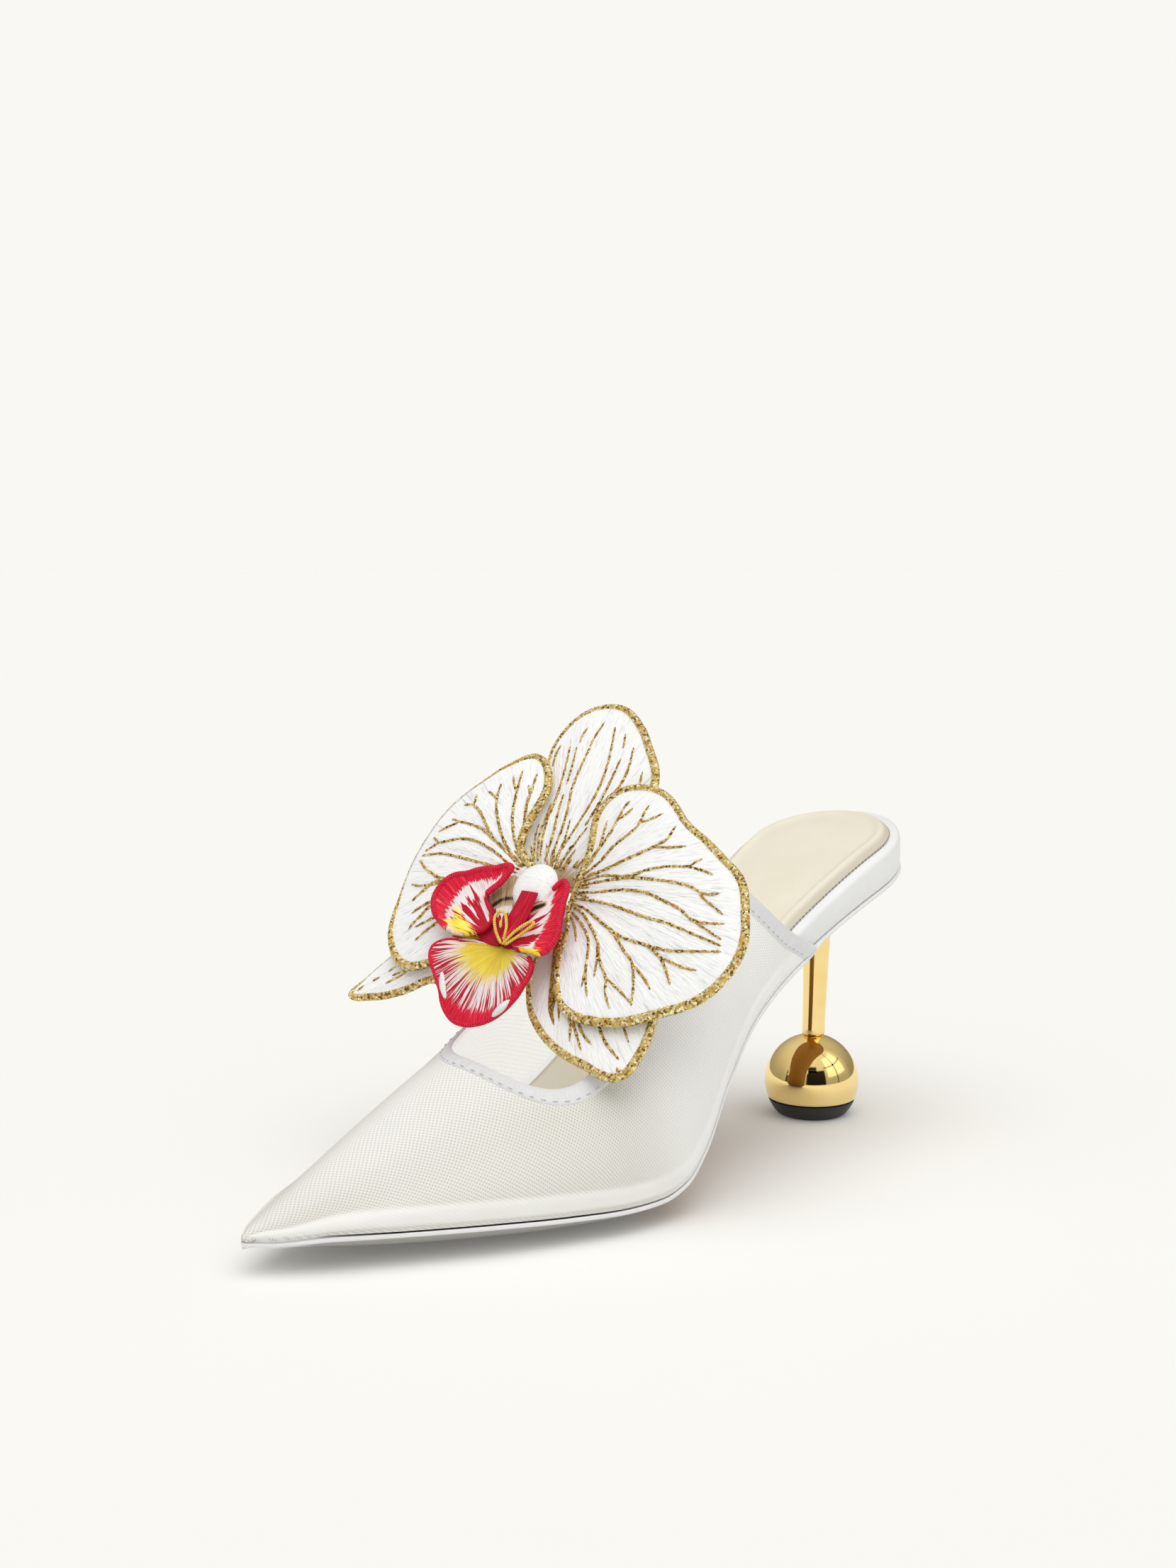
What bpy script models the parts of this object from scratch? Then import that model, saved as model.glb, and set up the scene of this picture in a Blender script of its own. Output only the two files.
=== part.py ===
# Left heeled mule: sheer net upper with an open throat, wrapped footbed, ball heel and an embroidered orchid.
# Frame: metres, +X to the toe, +Y to the wearer's left (the outer side of this left shoe), +Z up.
# The origin is the centre of the heel tip's floor face. Sizes and tables are written in millimetres.

import math
from collections import namedtuple

import bmesh
import bpy
from mathutils import Vector

MM = 0.001
GAP = 0.3  # clearance between neighbouring pieces

# Driving sizes of the shoe
HEEL_SEAT_RADIUS = 26.0
TOE_TIP_X = 209.5
HEEL_BACK_X = -25.8
OUTSOLE_EDGE = 1.7  # thickness where it shows at the side
OUTSOLE_BEVEL = 0.8
OUTSOLE_MIDDLE = 3.4  # thickness in the middle of the forepart
INSOLE_THICK = 1.6
INSOLE_BACK_X = -21.8
INSOLE_END_X = 188.0
BOARD_END_X = 197.0
NET_WALL = 1.2
BINDING_THICK = 1.8
BINDING_WIDTH = 4.6
UPPER_OFFSET = 1.25  # from the board's edge to the middle of the upper's wall

# Driving sizes of the heel
BALL_RADIUS = 14.5
BALL_CENTRE_Z = 10.4
TIP_HEIGHT = 4.9
NECK_RADIUS = 2.6
NECK_TOP_Z = 25.6
STEM_FOOT_RADIUS = 3.5
STEM_TOP_RADIUS = 4.9
STEM_FOOT_X = -0.6
STEM_TOP_X = -2.4

# Sole from heel to toe: height of the outsole's lower edge, height of its underside in the middle,
# half widths to either side, and thickness of the wrapped board.
Sole = namedtuple("Sole", "x edge tread outer inner board")
SOLE = [
    Sole(-26, 79.6, 79.0, 26.0, 26.0, 10.4),
    Sole(0, 71.6, 70.8, 26.0, 26.0, 10.4),
    Sole(20, 63.2, 62.0, 24.6, 24.0, 9.4),
    Sole(40, 53.2, 51.4, 23.4, 20.0, 8.2),
    Sole(60, 43.0, 40.6, 25.8, 18.8, 6.4),
    Sole(80, 28.4, 25.2, 31.6, 23.0, 4.8),
    Sole(95, 13.8, 9.4, 36.4, 29.6, 4.0),
    Sole(105, 7.6, 2.2, 38.4, 33.6, 3.6),
    Sole(113, 5.6, 0.0, 38.6, 35.4, 3.4),
    Sole(124, 5.2, 0.0, 37.4, 36.2, 3.2),
    Sole(140, 5.6, 0.0, 32.6, 35.0, 3.0),
    Sole(160, 6.4, 1.4, 24.4, 29.6, 2.6),
    Sole(180, 7.0, 3.4, 14.0, 22.0, 2.2),
    Sole(195, 7.5, 5.5, 5.6, 15.8, 1.7),
    Sole(205, 7.8, 7.0, -1.0, 11.0, 1.3),
    Sole(210, 8.0, 7.6, -5.2, 8.2, 1.1),
]
FLAT_SHARE = 0.42  # the tread is level over this share of the width

# Crest of the upper: its sideways place, its height and how full the section is (2 is an ellipse).
Crest = namedtuple("Crest", "x side top full")
CREST = [
    Crest(28, -3, 112.0, 1.9),
    Crest(63, -5, 100.5, 1.85),
    Crest(80, -7, 88.0, 1.85),
    Crest(100, -9, 71.0, 1.85),
    Crest(118, -11, 53.0, 1.85),
    Crest(134, -13, 41.2, 1.9),
    Crest(150, -13, 33.0, 1.95),
    Crest(178, -11, 21.2, 2.0),
    Crest(195, -8.5, 15.0, 2.0),
    Crest(205, -7, 11.9, 2.0),
    Crest(210, -6.7, 10.9, 2.0),
]
NOSE_START_X = 203.0  # the toe rounds down from here to the tip
LEG_SHARE = 0.12  # share of the half girth that stands upright beside the board

# Rear edge of the upper, and the throat opening, as fractions of the half girth across.
TOPLINE_CREST_X = 77.0
TOPLINE_SWEEP = 46.0  # from the crest back to where the edge meets the sole
TOPLINE_BOW = 1.5
THROAT_FRONT_X = 136.6
THROAT_REAR_X = 108.0
THROAT_OUTER = 0.42
THROAT_INNER = -0.20
THROAT_SQUARENESS = 2.7
GIRTH_PER_FRACTION = 66.0  # millimetres of surface for one whole fraction at the throat
THROAT_RISE = 1.25  # surface length of the steep instep for each millimetre along X

# The flower's own frame: a point on the instep, how far its face tips up and turns to the outer side.
FLOWER_CENTRE = (99.4, -8.3, 75.8)
FLOWER_TILT = 37.0
FLOWER_TURN = 12.0
CLAW_REACH = 6.5  # petals dip to the instep within about this distance of the middle

Ray = namedtuple("Ray", "bearing reach")
Petal = namedtuple("Petal", "name across up level dome rise claw_drop rays")
PETALS = [
    Petal("sepal_top", -6, 40, 1.2, 1.4, 0.0, 1.0, [
        Ray(0, 21.5), Ray(35, 19.5), Ray(62, 21.4), Ray(90, 25.4), Ray(115, 25.2), Ray(145, 21.0),
        Ray(180, 16.0), Ray(225, 15.5), Ray(255, 24.0), Ray(273, 35.0), Ray(284, 36.0), Ray(305, 26.0),
        Ray(330, 22.5)]),
    Petal("sepal_inner", -33, -20, 1.2, 1.0, 0.0, 1.0, [
        Ray(31, 34.5), Ray(55, 21.0), Ray(90, 12.5), Ray(130, 10.5), Ray(165, 15.5), Ray(195, 24.5),
        Ray(211, 30.0), Ray(222, 22.6), Ray(250, 10.6), Ray(280, 8.6), Ray(320, 13.0), Ray(10, 23.0)]),
    Petal("sepal_outer", 18, -26, 1.2, 1.4, 1.4, 0.2, [
        Ray(0, 21.5), Ray(40, 19.5), Ray(85, 20.5), Ray(112, 26.0), Ray(126, 27.5), Ray(142, 25.0),
        Ray(165, 22.0), Ray(195, 18.8), Ray(230, 17.2), Ray(263, 18.5), Ray(288, 22.3), Ray(309, 29.5),
        Ray(325, 27.2), Ray(343, 24.0)]),
    Petal("petal_inner", -32, 8, 4.6, 3.0, 0.0, 1.6, [
        Ray(346, 30.0), Ray(358, 22.5), Ray(15, 17.0), Ray(34, 16.8), Ray(50, 21.5), Ray(62, 32.0),
        Ray(78, 38.0), Ray(92, 33.5), Ray(108, 28.0), Ray(132, 23.8), Ray(160, 21.0), Ray(190, 21.6),
        Ray(214, 25.0), Ray(236, 32.5), Ray(254, 36.0), Ray(272, 31.5), Ray(300, 25.0), Ray(328, 26.0)]),
    Petal("petal_outer", 30, 0, 4.6, 3.0, 1.4, 1.6, [
        Ray(0, 28.0), Ray(20, 25.8), Ray(42, 22.9), Ray(66, 23.4), Ray(88, 27.0), Ray(106, 37.2),
        Ray(122, 42.0), Ray(134, 40.0), Ray(147, 32.0), Ray(163, 28.0), Ray(180, 27.5), Ray(203, 26.6),
        Ray(226, 32.4), Ray(244, 37.0), Ray(268, 36.0), Ray(292, 34.2), Ray(315, 35.0), Ray(338, 32.8)]),
]
PETAL_THICK = 1.4
PETAL_RIM_THICK = 2.4
PETAL_SIDES = 32
PETAL_RINGS = (0.35, 0.7, 0.92, 1.0)

LIP_LOBES = [
    Petal("lip_mid", -13, -29, 10.0, 2.2, 0.0, 0.0, [
        Ray(0, 16.4), Ray(22, 17.5), Ray(48, 14.2), Ray(90, 11.2), Ray(130, 14.5), Ray(155, 19.6),
        Ray(180, 14.0), Ray(207, 11.2), Ray(240, 11.4), Ray(270, 13.2), Ray(300, 14.8), Ray(330, 15.6)]),
    Petal("lip_inner", -26, -6, 12.2, -1.8, 0.0, 0.0, [
        Ray(0, 8.6), Ray(20, 8.8), Ray(40, 15.4), Ray(49, 17.2), Ray(62, 12.0), Ray(95, 8.2),
        Ray(140, 9.0), Ray(180, 9.7), Ray(225, 9.8), Ray(265, 10.6), Ray(305, 12.2), Ray(330, 13.4)]),
    Petal("lip_outer", 2, -10, 12.6, -1.8, 0.0, 0.0, [
        Ray(0, 6.6), Ray(45, 7.8), Ray(74, 12.6), Ray(88, 9.0), Ray(115, 5.8), Ray(165, 5.2),
        Ray(205, 6.4), Ray(232, 9.4), Ray(262, 9.2), Ray(295, 11.6), Ray(330, 8.6)]),
]
LIP_THICK = 1.4
LIP_RIM_THICK = 2.0
LIP_SIDES = 24
LIP_RINGS = (0.4, 0.75, 1.0)

COLUMN_ACROSS = -5.4
COLUMN_UP = 0.8
COLUMN_FOOT = 6.6
COLUMN_NECK_RADIUS = 3.6
CAP_RADIUS = 6.2
CAP_LOW = 8.0
CAP_TOP = 13.6


def clear_scene():
    for obj in list(bpy.data.objects):
        bpy.data.objects.remove(obj)


def make_material(name, colour, roughness, metallic):
    material = bpy.data.materials.new(name)
    material.use_nodes = True
    shader = material.node_tree.nodes["Principled BSDF"]
    shader.inputs["Base Color"].default_value = (*colour, 1.0)
    shader.inputs["Roughness"].default_value = roughness
    shader.inputs["Metallic"].default_value = metallic
    return material


def add_object(name, bm, material, smooth_angle=40):
    bmesh.ops.recalc_face_normals(bm, faces=bm.faces)
    mesh = bpy.data.meshes.new(name)
    bm.to_mesh(mesh)
    bm.free()
    mesh.materials.append(material)
    mesh.shade_smooth()
    mesh.set_sharp_from_angle(angle=math.radians(smooth_angle))
    obj = bpy.data.objects.new(name, mesh)
    bpy.context.scene.collection.objects.link(obj)
    return obj


def give_wall(obj, thickness):
    wall = obj.modifiers.new("wall", "SOLIDIFY")
    wall.thickness = thickness * MM
    wall.offset = 0.0
    return wall


# Smooth curve through one column of a table. A stretch between equal rows stays level.
def along(rows, column, x):
    places = [row[0] for row in rows]
    values = [getattr(row, column) for row in rows]
    if x <= places[0]:
        return values[0]
    if x >= places[-1]:
        return values[-1]
    slopes = [(values[i + 1] - values[i]) / (places[i + 1] - places[i]) for i in range(len(rows) - 1)]

    def tangent(i):
        if i == 0:
            return slopes[0]
        if i == len(rows) - 1:
            return slopes[-1]
        before, after = slopes[i - 1], slopes[i]
        if before * after <= 0:
            return 0.0
        return 2 * before * after / (before + after)

    i = max(k for k in range(len(rows) - 1) if places[k] <= x)
    span = places[i + 1] - places[i]
    t = (x - places[i]) / span
    start, end = values[i], values[i + 1]
    return (
        start * (1 + 2 * t) * (1 - t) ** 2
        + end * t * t * (3 - 2 * t)
        + span * (tangent(i) * t * (1 - t) ** 2 - tangent(i + 1) * t * t * (1 - t))
    )


# Edge of the board at x, on the outer (+1) or inner (-1) side. Behind the origin it is the round heel seat.
def board_edge(x, side):
    if x < 0:
        return side * math.sqrt(max(HEEL_SEAT_RADIUS**2 - x * x, 0.0))
    return side * along(SOLE, "outer" if side > 0 else "inner", x)


def edge_height(x):
    return along(SOLE, "edge", x)


# How far the middle of the underside hangs below the outsole's edge.
def belly(x):
    return edge_height(x) - along(SOLE, "tread", x)


# How far the outsole's top, and with it the board, is dished in the middle.
def dish(x):
    return max(belly(x) - (OUTSOLE_MIDDLE - OUTSOLE_EDGE), 0.0)


def board_bottom(x):
    return edge_height(x) + OUTSOLE_EDGE + GAP


def board_top(x):
    return board_bottom(x) + along(SOLE, "board", x)


# Share of a dish at a column across the sole: 1 over the level middle, easing to 0 at the edges.
def dish_share(column):
    beyond = max(abs(column) - FLAT_SHARE, 0.0) / (1 - FLAT_SHARE)
    return 1 - beyond * beyond


def toe_share(x):
    return min(max((x - 180.0) / 25.0, 0.0), 1.0)


def upper_margin(x):
    # The outsole stands out under the upper, and runs flush with the bare board behind it.
    share = min(max((x - 24.0) / 12.0, 0.0), 1.0)
    return 0.35 + 1.9 * share * share * (3 - 2 * share) - 0.5 * toe_share(x)


def stations(start, end, spacing):
    count = max(2, round((end - start) / spacing))
    return [start + (end - start) * i / count for i in range(count + 1)]


# Places of the sections from the heel to an end near the toe, shared by the stacked plates so that they stay parallel.
def plate_places(end):
    heel = [HEEL_BACK_X, -24.6, -22.4, -19.0, -14.0, -7.0]
    forepart = stations(0.0, 84.0, 8.4) + stations(89.0, 113.0, 4.8) + stations(120.0, 190.0, 7.0)
    toe = [195.0, 200.0, 204.0, 207.5]
    return [x for x in heel + forepart + toe if x < end - 0.5] + [end]


# Closed body through equal section rings, capped at both ends.
def loft(name, rings, material):
    bm = bmesh.new()
    loops = [[bm.verts.new(Vector(p) * MM) for p in ring] for ring in rings]
    for first, second in zip(loops, loops[1:]):
        for i in range(len(first)):
            j = (i + 1) % len(first)
            bm.faces.new((first[i], first[j], second[j], second[i]))
    bm.faces.new(loops[0])
    bm.faces.new(loops[-1])
    return add_object(name, bm, material)


PLATE_COLUMNS = (-1.0, -0.72, -FLAT_SHARE, 0.0, FLAT_SHARE, 0.72, 1.0)


# One ring across the shoe at x: rows run from the lowest line to the highest, each as (inset, height).
# The lowest and highest lines sink by their own dish towards the middle.
def plate_ring(x, outline, rows, low_dish, high_dish):
    outer, inner = outline(x, 1), outline(x, -1)
    middle, half = (outer + inner) / 2, (outer - inner) / 2

    def line(row, depth):
        inset, z = row
        reach = max(half - inset, 0.2)
        return [(x, middle + reach * c, z - depth * dish_share(c)) for c in PLATE_COLUMNS]

    ring = list(reversed(line(rows[0], low_dish)))
    ring += [(x, middle - max(half - inset, 0.2), z) for inset, z in rows[1:-1]]
    ring += line(rows[-1], high_dish)
    ring += [(x, middle + max(half - inset, 0.2), z) for inset, z in reversed(rows[1:-1])]
    return ring


def make_outsole(material):
    def outline(x, side):
        return board_edge(x, side) + side * upper_margin(x)

    def ring(x):
        low = edge_height(x)
        rows = [(OUTSOLE_BEVEL, low), (0.0, low + OUTSOLE_BEVEL * 0.7), (0.0, low + OUTSOLE_EDGE)]
        return plate_ring(x, outline, rows, belly(x), dish(x))

    return loft("outsole", [ring(x) for x in plate_places(TOE_TIP_X + 1.2)], material)


def make_footbed(material):
    def outline(x, side):
        return board_edge(x, side) - side * 0.5 * toe_share(x)

    def ring(x):
        low, high = board_bottom(x), board_top(x)
        round_off = min(1.2, 0.3 * (high - low))
        rows = [(0.0, low), (0.0, high - round_off), (round_off, high)]
        return plate_ring(x, outline, rows, dish(x), 0.5 * dish(x))

    return loft("footbed", [ring(x) for x in plate_places(BOARD_END_X)], material)


def insole_edge(x, side):
    # Set in a little along the sides, and more at the back of the heel.
    inset = 1.6
    if x < 0:
        radius = HEEL_SEAT_RADIUS - inset
        return side * math.sqrt(max(radius * radius - (x * 1.11) ** 2, 0.0))
    return board_edge(x, side) - side * inset


def make_insole(material):
    def ring(x):
        low = board_top(x) + GAP
        share = min(1.0, (INSOLE_END_X - x) / 30.0)
        thick = 1.2 + (INSOLE_THICK - 1.2) * max(share, 0.0)
        rows = [(0.4, low), (0.0, low + 0.5 * thick), (1.0, low + thick)]
        return plate_ring(x, insole_edge, rows, 0.5 * dish(x), 0.5 * dish(x) - 0.4)

    places = [INSOLE_BACK_X, -20.8] + [x for x in plate_places(INSOLE_END_X) if x > -20.0]
    return loft("insole", [ring(x) for x in places], material)


# Middle of the upper's wall at x. The fraction runs from 1 at the outer sole edge, over the crest at 0,
# to -1 at the inner sole edge.
def upper_point(x, fraction):
    side = 1 if fraction >= 0 else -1
    share = abs(fraction)
    edge = board_edge(x, side) + side * UPPER_OFFSET
    nose = 1.0
    if x > NOSE_START_X:
        reach = min((x - NOSE_START_X) / (TOE_TIP_X - NOSE_START_X), 1.0)
        nose = math.sqrt(max(1.0 - reach * reach, 0.0))
    low = board_bottom(x) + 0.1 + 0.3 * toe_share(x) + 0.4 * (1.0 - nose)
    spring = low + along(SOLE, "board", x) * nose
    top = low + (along(CREST, "top", x) - low) * nose
    crest_side = along(CREST, "side", x)
    arch_share = 1.0 - LEG_SHARE
    if share > arch_share:
        leg = (share - arch_share) / LEG_SHARE
        return Vector((x, edge, spring + (low - spring) * leg))
    angle = share / arch_share * math.pi / 2
    power = 2 / along(CREST, "full", x)
    y = crest_side + (edge - crest_side) * math.sin(angle) ** power
    z = spring + (top - spring) * math.cos(angle) ** power
    return Vector((x, y, z))


# Line over the shoe at a distance ahead of the rear edge, measured square to that edge.
def topline_x(fraction, inset=0.0):
    share = abs(fraction)
    oblique = TOPLINE_BOW * TOPLINE_SWEEP * share ** (TOPLINE_BOW - 1) / GIRTH_PER_FRACTION
    return TOPLINE_CREST_X - TOPLINE_SWEEP * share**TOPLINE_BOW + inset * math.hypot(0.8, oblique)


# Point of the throat's edge, grown outwards over the surface. The turn starts at the toe side, goes to the outer side.
def throat_edge(turn, grow):
    half_length = (THROAT_FRONT_X - THROAT_REAR_X) / 2 + grow / THROAT_RISE
    half_width = (THROAT_OUTER - THROAT_INNER) / 2 + grow / GIRTH_PER_FRACTION
    power = 2 / THROAT_SQUARENESS
    ahead, across = math.cos(turn), math.sin(turn)
    x = (THROAT_FRONT_X + THROAT_REAR_X) / 2
    x += half_length * math.copysign(abs(ahead) ** power, ahead)
    fraction = (THROAT_OUTER + THROAT_INNER) / 2
    fraction += half_width * math.copysign(abs(across) ** power, across)
    return x, fraction


SIDE_STEPS = 22
TOE_STEPS = 4
TOPLINE_STEPS = 22
NET_RINGS = (0.0, 0.17, 0.34, 0.51, 0.66, 0.79, 0.89, 0.95, 0.98, 1.0)  # closer together at the sole and toe


# Outer boundary of the net: round the toe, back along the outer sole edge, over the topline, forward again.
def net_boundary():
    inset = BINDING_WIDTH + GAP
    rear = topline_x(1.0, inset)
    points = [(TOE_TIP_X, i / TOE_STEPS) for i in range(TOE_STEPS)]
    points += [(TOE_TIP_X + (rear - TOE_TIP_X) * i / SIDE_STEPS, 1.0) for i in range(SIDE_STEPS)]
    for i in range(TOPLINE_STEPS):
        fraction = 1.0 - 2.0 * i / TOPLINE_STEPS
        points.append((topline_x(fraction, inset), fraction))
    points += [(rear + (TOE_TIP_X - rear) * i / SIDE_STEPS, -1.0) for i in range(SIDE_STEPS)]
    points += [(TOE_TIP_X, -1.0 + i / TOE_STEPS) for i in range(TOE_STEPS)]
    return points


# Surface between matching closed outlines, each a list of (x, fraction) on the upper.
def ring_surface(bm, outlines):
    loops = [[bm.verts.new(upper_point(x, f) * MM) for x, f in outline] for outline in outlines]
    for first, second in zip(loops, loops[1:]):
        for i in range(len(first)):
            j = (i + 1) % len(first)
            bm.faces.new((first[i], first[j], second[j], second[i]))


def make_upper(material):
    boundary = net_boundary()
    count = len(boundary)
    middle = ((THROAT_FRONT_X + THROAT_REAR_X) / 2, (THROAT_OUTER + THROAT_INNER) / 2)
    scale_x = 52.0  # makes a millimetre ahead and a fraction across comparable when turns are matched
    opening = []
    for x, fraction in boundary:
        turn = math.atan2(fraction - middle[1], (x - middle[0]) / scale_x)
        opening.append(throat_edge(turn, BINDING_WIDTH + 1.6 * GAP))
    outlines = []
    for share in NET_RINGS:
        outlines.append([
            (opening[i][0] + (boundary[i][0] - opening[i][0]) * share,
             opening[i][1] + (boundary[i][1] - opening[i][1]) * share)
            for i in range(count)
        ])
    bm = bmesh.new()
    ring_surface(bm, outlines)
    obj = add_object("upper", bm, material)
    give_wall(obj, NET_WALL)
    return obj


def make_throat_binding(material):
    turns = [2 * math.pi * i / 64 for i in range(64)]
    bm = bmesh.new()
    ring_surface(bm, [[throat_edge(turn, grow) for turn in turns] for grow in (0.0, BINDING_WIDTH)])
    obj = add_object("throat_binding", bm, material)
    give_wall(obj, BINDING_THICK)
    return obj


def make_topline_binding(material):
    bm = bmesh.new()
    lines = []
    for inset in (0.0, BINDING_WIDTH):
        line = []
        for i in range(TOPLINE_STEPS + 1):
            fraction = 1.0 - 2.0 * i / TOPLINE_STEPS
            line.append(bm.verts.new(upper_point(topline_x(fraction, inset), fraction) * MM))
        lines.append(line)
    for i in range(TOPLINE_STEPS):
        bm.faces.new((lines[0][i], lines[0][i + 1], lines[1][i + 1], lines[1][i]))
    obj = add_object("topline_binding", bm, material)
    give_wall(obj, BINDING_THICK)
    return obj


# Turned body about the Z axis from a profile of (radius, height), closed at both ends.
def turned(name, profile, material, sides=30):
    bm = bmesh.new()
    rings = []
    for radius, z in profile:
        rings.append([
            bm.verts.new(Vector((
                radius * math.cos(2 * math.pi * i / sides),
                radius * math.sin(2 * math.pi * i / sides),
                z,
            )) * MM)
            for i in range(sides)
        ])
    for first, second in zip(rings, rings[1:]):
        for i in range(sides):
            j = (i + 1) % sides
            bm.faces.new((first[i], first[j], second[j], second[i]))
    bm.faces.new(rings[0])
    bm.faces.new(rings[-1])
    return add_object(name, bm, material)


def ball_radius_at(z):
    return math.sqrt(max(BALL_RADIUS**2 - (z - BALL_CENTRE_Z) ** 2, 0.0))


def make_heel(gold, rubber):
    steps = 3
    heights = [TIP_HEIGHT * i / steps for i in range(steps + 1)]
    turned("heel_tip", [(ball_radius_at(z), z) for z in heights], rubber)
    low = TIP_HEIGHT + GAP
    start = math.asin((low - BALL_CENTRE_Z) / BALL_RADIUS)
    end = math.acos(NECK_RADIUS / BALL_RADIUS)
    steps = 10
    arc = [start + (end - start) * i / steps for i in range(steps + 1)]
    profile = [(BALL_RADIUS * math.cos(a), BALL_CENTRE_Z + BALL_RADIUS * math.sin(a)) for a in arc]
    turned("heel_ball", profile + [(NECK_RADIUS, NECK_TOP_Z)], gold)
    make_stem(gold)


def make_stem(gold):
    # The stem widens and leans back a little to the heel seat, and its top is cut to the slope of the sole.
    sides = 28
    foot_z = NECK_TOP_Z + GAP

    def top_z(x):
        return edge_height(x) - belly(x) - GAP

    rings = []
    for share in (0.0, 0.025, 0.5, 1.0):
        radius = STEM_FOOT_RADIUS + (STEM_TOP_RADIUS - STEM_FOOT_RADIUS) * share**1.6
        if share == 0.0:
            radius -= 0.35
        middle = STEM_FOOT_X + (STEM_TOP_X - STEM_FOOT_X) * share
        ring = []
        for i in range(sides):
            a = 2 * math.pi * i / sides
            x = middle + radius * math.cos(a)
            level = foot_z + (top_z(STEM_TOP_X) - foot_z) * share
            slope = (top_z(x) - top_z(STEM_TOP_X)) * share**4
            ring.append((x, radius * math.sin(a), level + slope))
        rings.append(ring)
    loft("heel_stem", rings, gold)


def flower_axes():
    tilt, turn = math.radians(FLOWER_TILT), math.radians(FLOWER_TURN)
    face = Vector((math.cos(tilt) * math.cos(turn), math.cos(tilt) * math.sin(turn), math.sin(tilt)))
    across = Vector((-math.sin(turn), math.cos(turn), 0.0))
    return across, face.cross(across), face


def flower_point(across, up, height):
    side, rise, face = flower_axes()
    return Vector(FLOWER_CENTRE) + side * across + rise * up + face * height


# Reach of a closed outline at a bearing, as a smooth curve through its rays all the way round.
def ray_reach(rays, bearing):
    rows = sorted(rays, key=lambda ray: ray.bearing)
    before = [Ray(ray.bearing - 360, ray.reach) for ray in rows]
    after = [Ray(ray.bearing + 360, ray.reach) for ray in rows]
    wrapped = before + rows + after
    i = max(k for k in range(len(wrapped) - 2) if wrapped[k].bearing <= bearing % 360)
    previous, start, end, following = wrapped[i - 1], wrapped[i], wrapped[i + 1], wrapped[i + 2]
    span = end.bearing - start.bearing
    t = (bearing % 360 - start.bearing) / span
    leave = (end.reach - previous.reach) / (end.bearing - previous.bearing) * span
    arrive = (following.reach - start.reach) / (following.bearing - start.bearing) * span
    return (
        start.reach * (1 + 2 * t) * (1 - t) ** 2
        + end.reach * t * t * (3 - 2 * t)
        + leave * t * (1 - t) ** 2
        - arrive * t * t * (1 - t)
    )


# Middle surface of a petal: domed about its own centre, dipping to the instep near the flower's middle.
def petal_point(petal, bearing, share):
    reach = ray_reach(petal.rays, bearing) * share
    across = petal.across + reach * math.cos(math.radians(bearing))
    up = petal.up + reach * math.sin(math.radians(bearing))
    from_middle = math.hypot(across, up)
    height = petal.level + petal.dome * (1 - share * share)
    height += petal.rise * (from_middle / 45.0) ** 2
    height -= petal.claw_drop * math.exp(-((from_middle / CLAW_REACH) ** 2))
    return flower_point(across, up, height)


# Bearings round a petal: every ray, with equal steps between neighbouring rays.
def petal_bearings(petal, sides):
    starts = sorted(ray.bearing for ray in petal.rays)
    steps = max(2, round(sides / len(starts)))
    ends = starts[1:] + [starts[0] + 360]
    return [a + (b - a) * i / steps for a, b in zip(starts, ends) for i in range(steps)]


def make_petal(petal, material, most_sides, ring_shares, thick, rim_thick):
    bm = bmesh.new()
    bearings = petal_bearings(petal, most_sides)
    sides = len(bearings)
    middle = bm.verts.new(petal_point(petal, 0.0, 0.0) * MM)
    loops = []
    for share in ring_shares:
        loops.append([bm.verts.new(petal_point(petal, b, share) * MM) for b in bearings])
    for i in range(sides):
        j = (i + 1) % sides
        bm.faces.new((middle, loops[0][i], loops[0][j]))
        for first, second in zip(loops, loops[1:]):
            bm.faces.new((first[i], second[i], second[j], first[j]))
    obj = add_object(petal.name, bm, material)
    rim = obj.vertex_groups.new(name="rim")
    rim.add([1 + (len(ring_shares) - 1) * sides + i for i in range(sides)], 1.0, "REPLACE")
    wall = give_wall(obj, rim_thick)
    wall.vertex_group = "rim"
    wall.thickness_vertex_group = thick / rim_thick
    return obj


# Turned body about the flower's facing direction, from a profile of (radius, height).
def make_column(material):
    sides = 20
    steps = 6
    profile = [(COLUMN_NECK_RADIUS - 0.6, COLUMN_FOOT), (COLUMN_NECK_RADIUS, CAP_LOW - 0.6)]
    middle_height = CAP_LOW + 2.6
    for i in range(steps + 1):
        a = math.pi / 2 * i / steps
        radius = CAP_RADIUS * math.cos(a * 0.93)
        profile.append((radius, middle_height + (CAP_TOP - middle_height) * math.sin(a)))
    rings = []
    for radius, height in profile:
        ring = []
        for i in range(sides):
            a = 2 * math.pi * i / sides
            ring.append(flower_point(
                COLUMN_ACROSS + radius * math.cos(a), COLUMN_UP + radius * math.sin(a), height))
        rings.append(ring)
    loft("column", rings, material)


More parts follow.
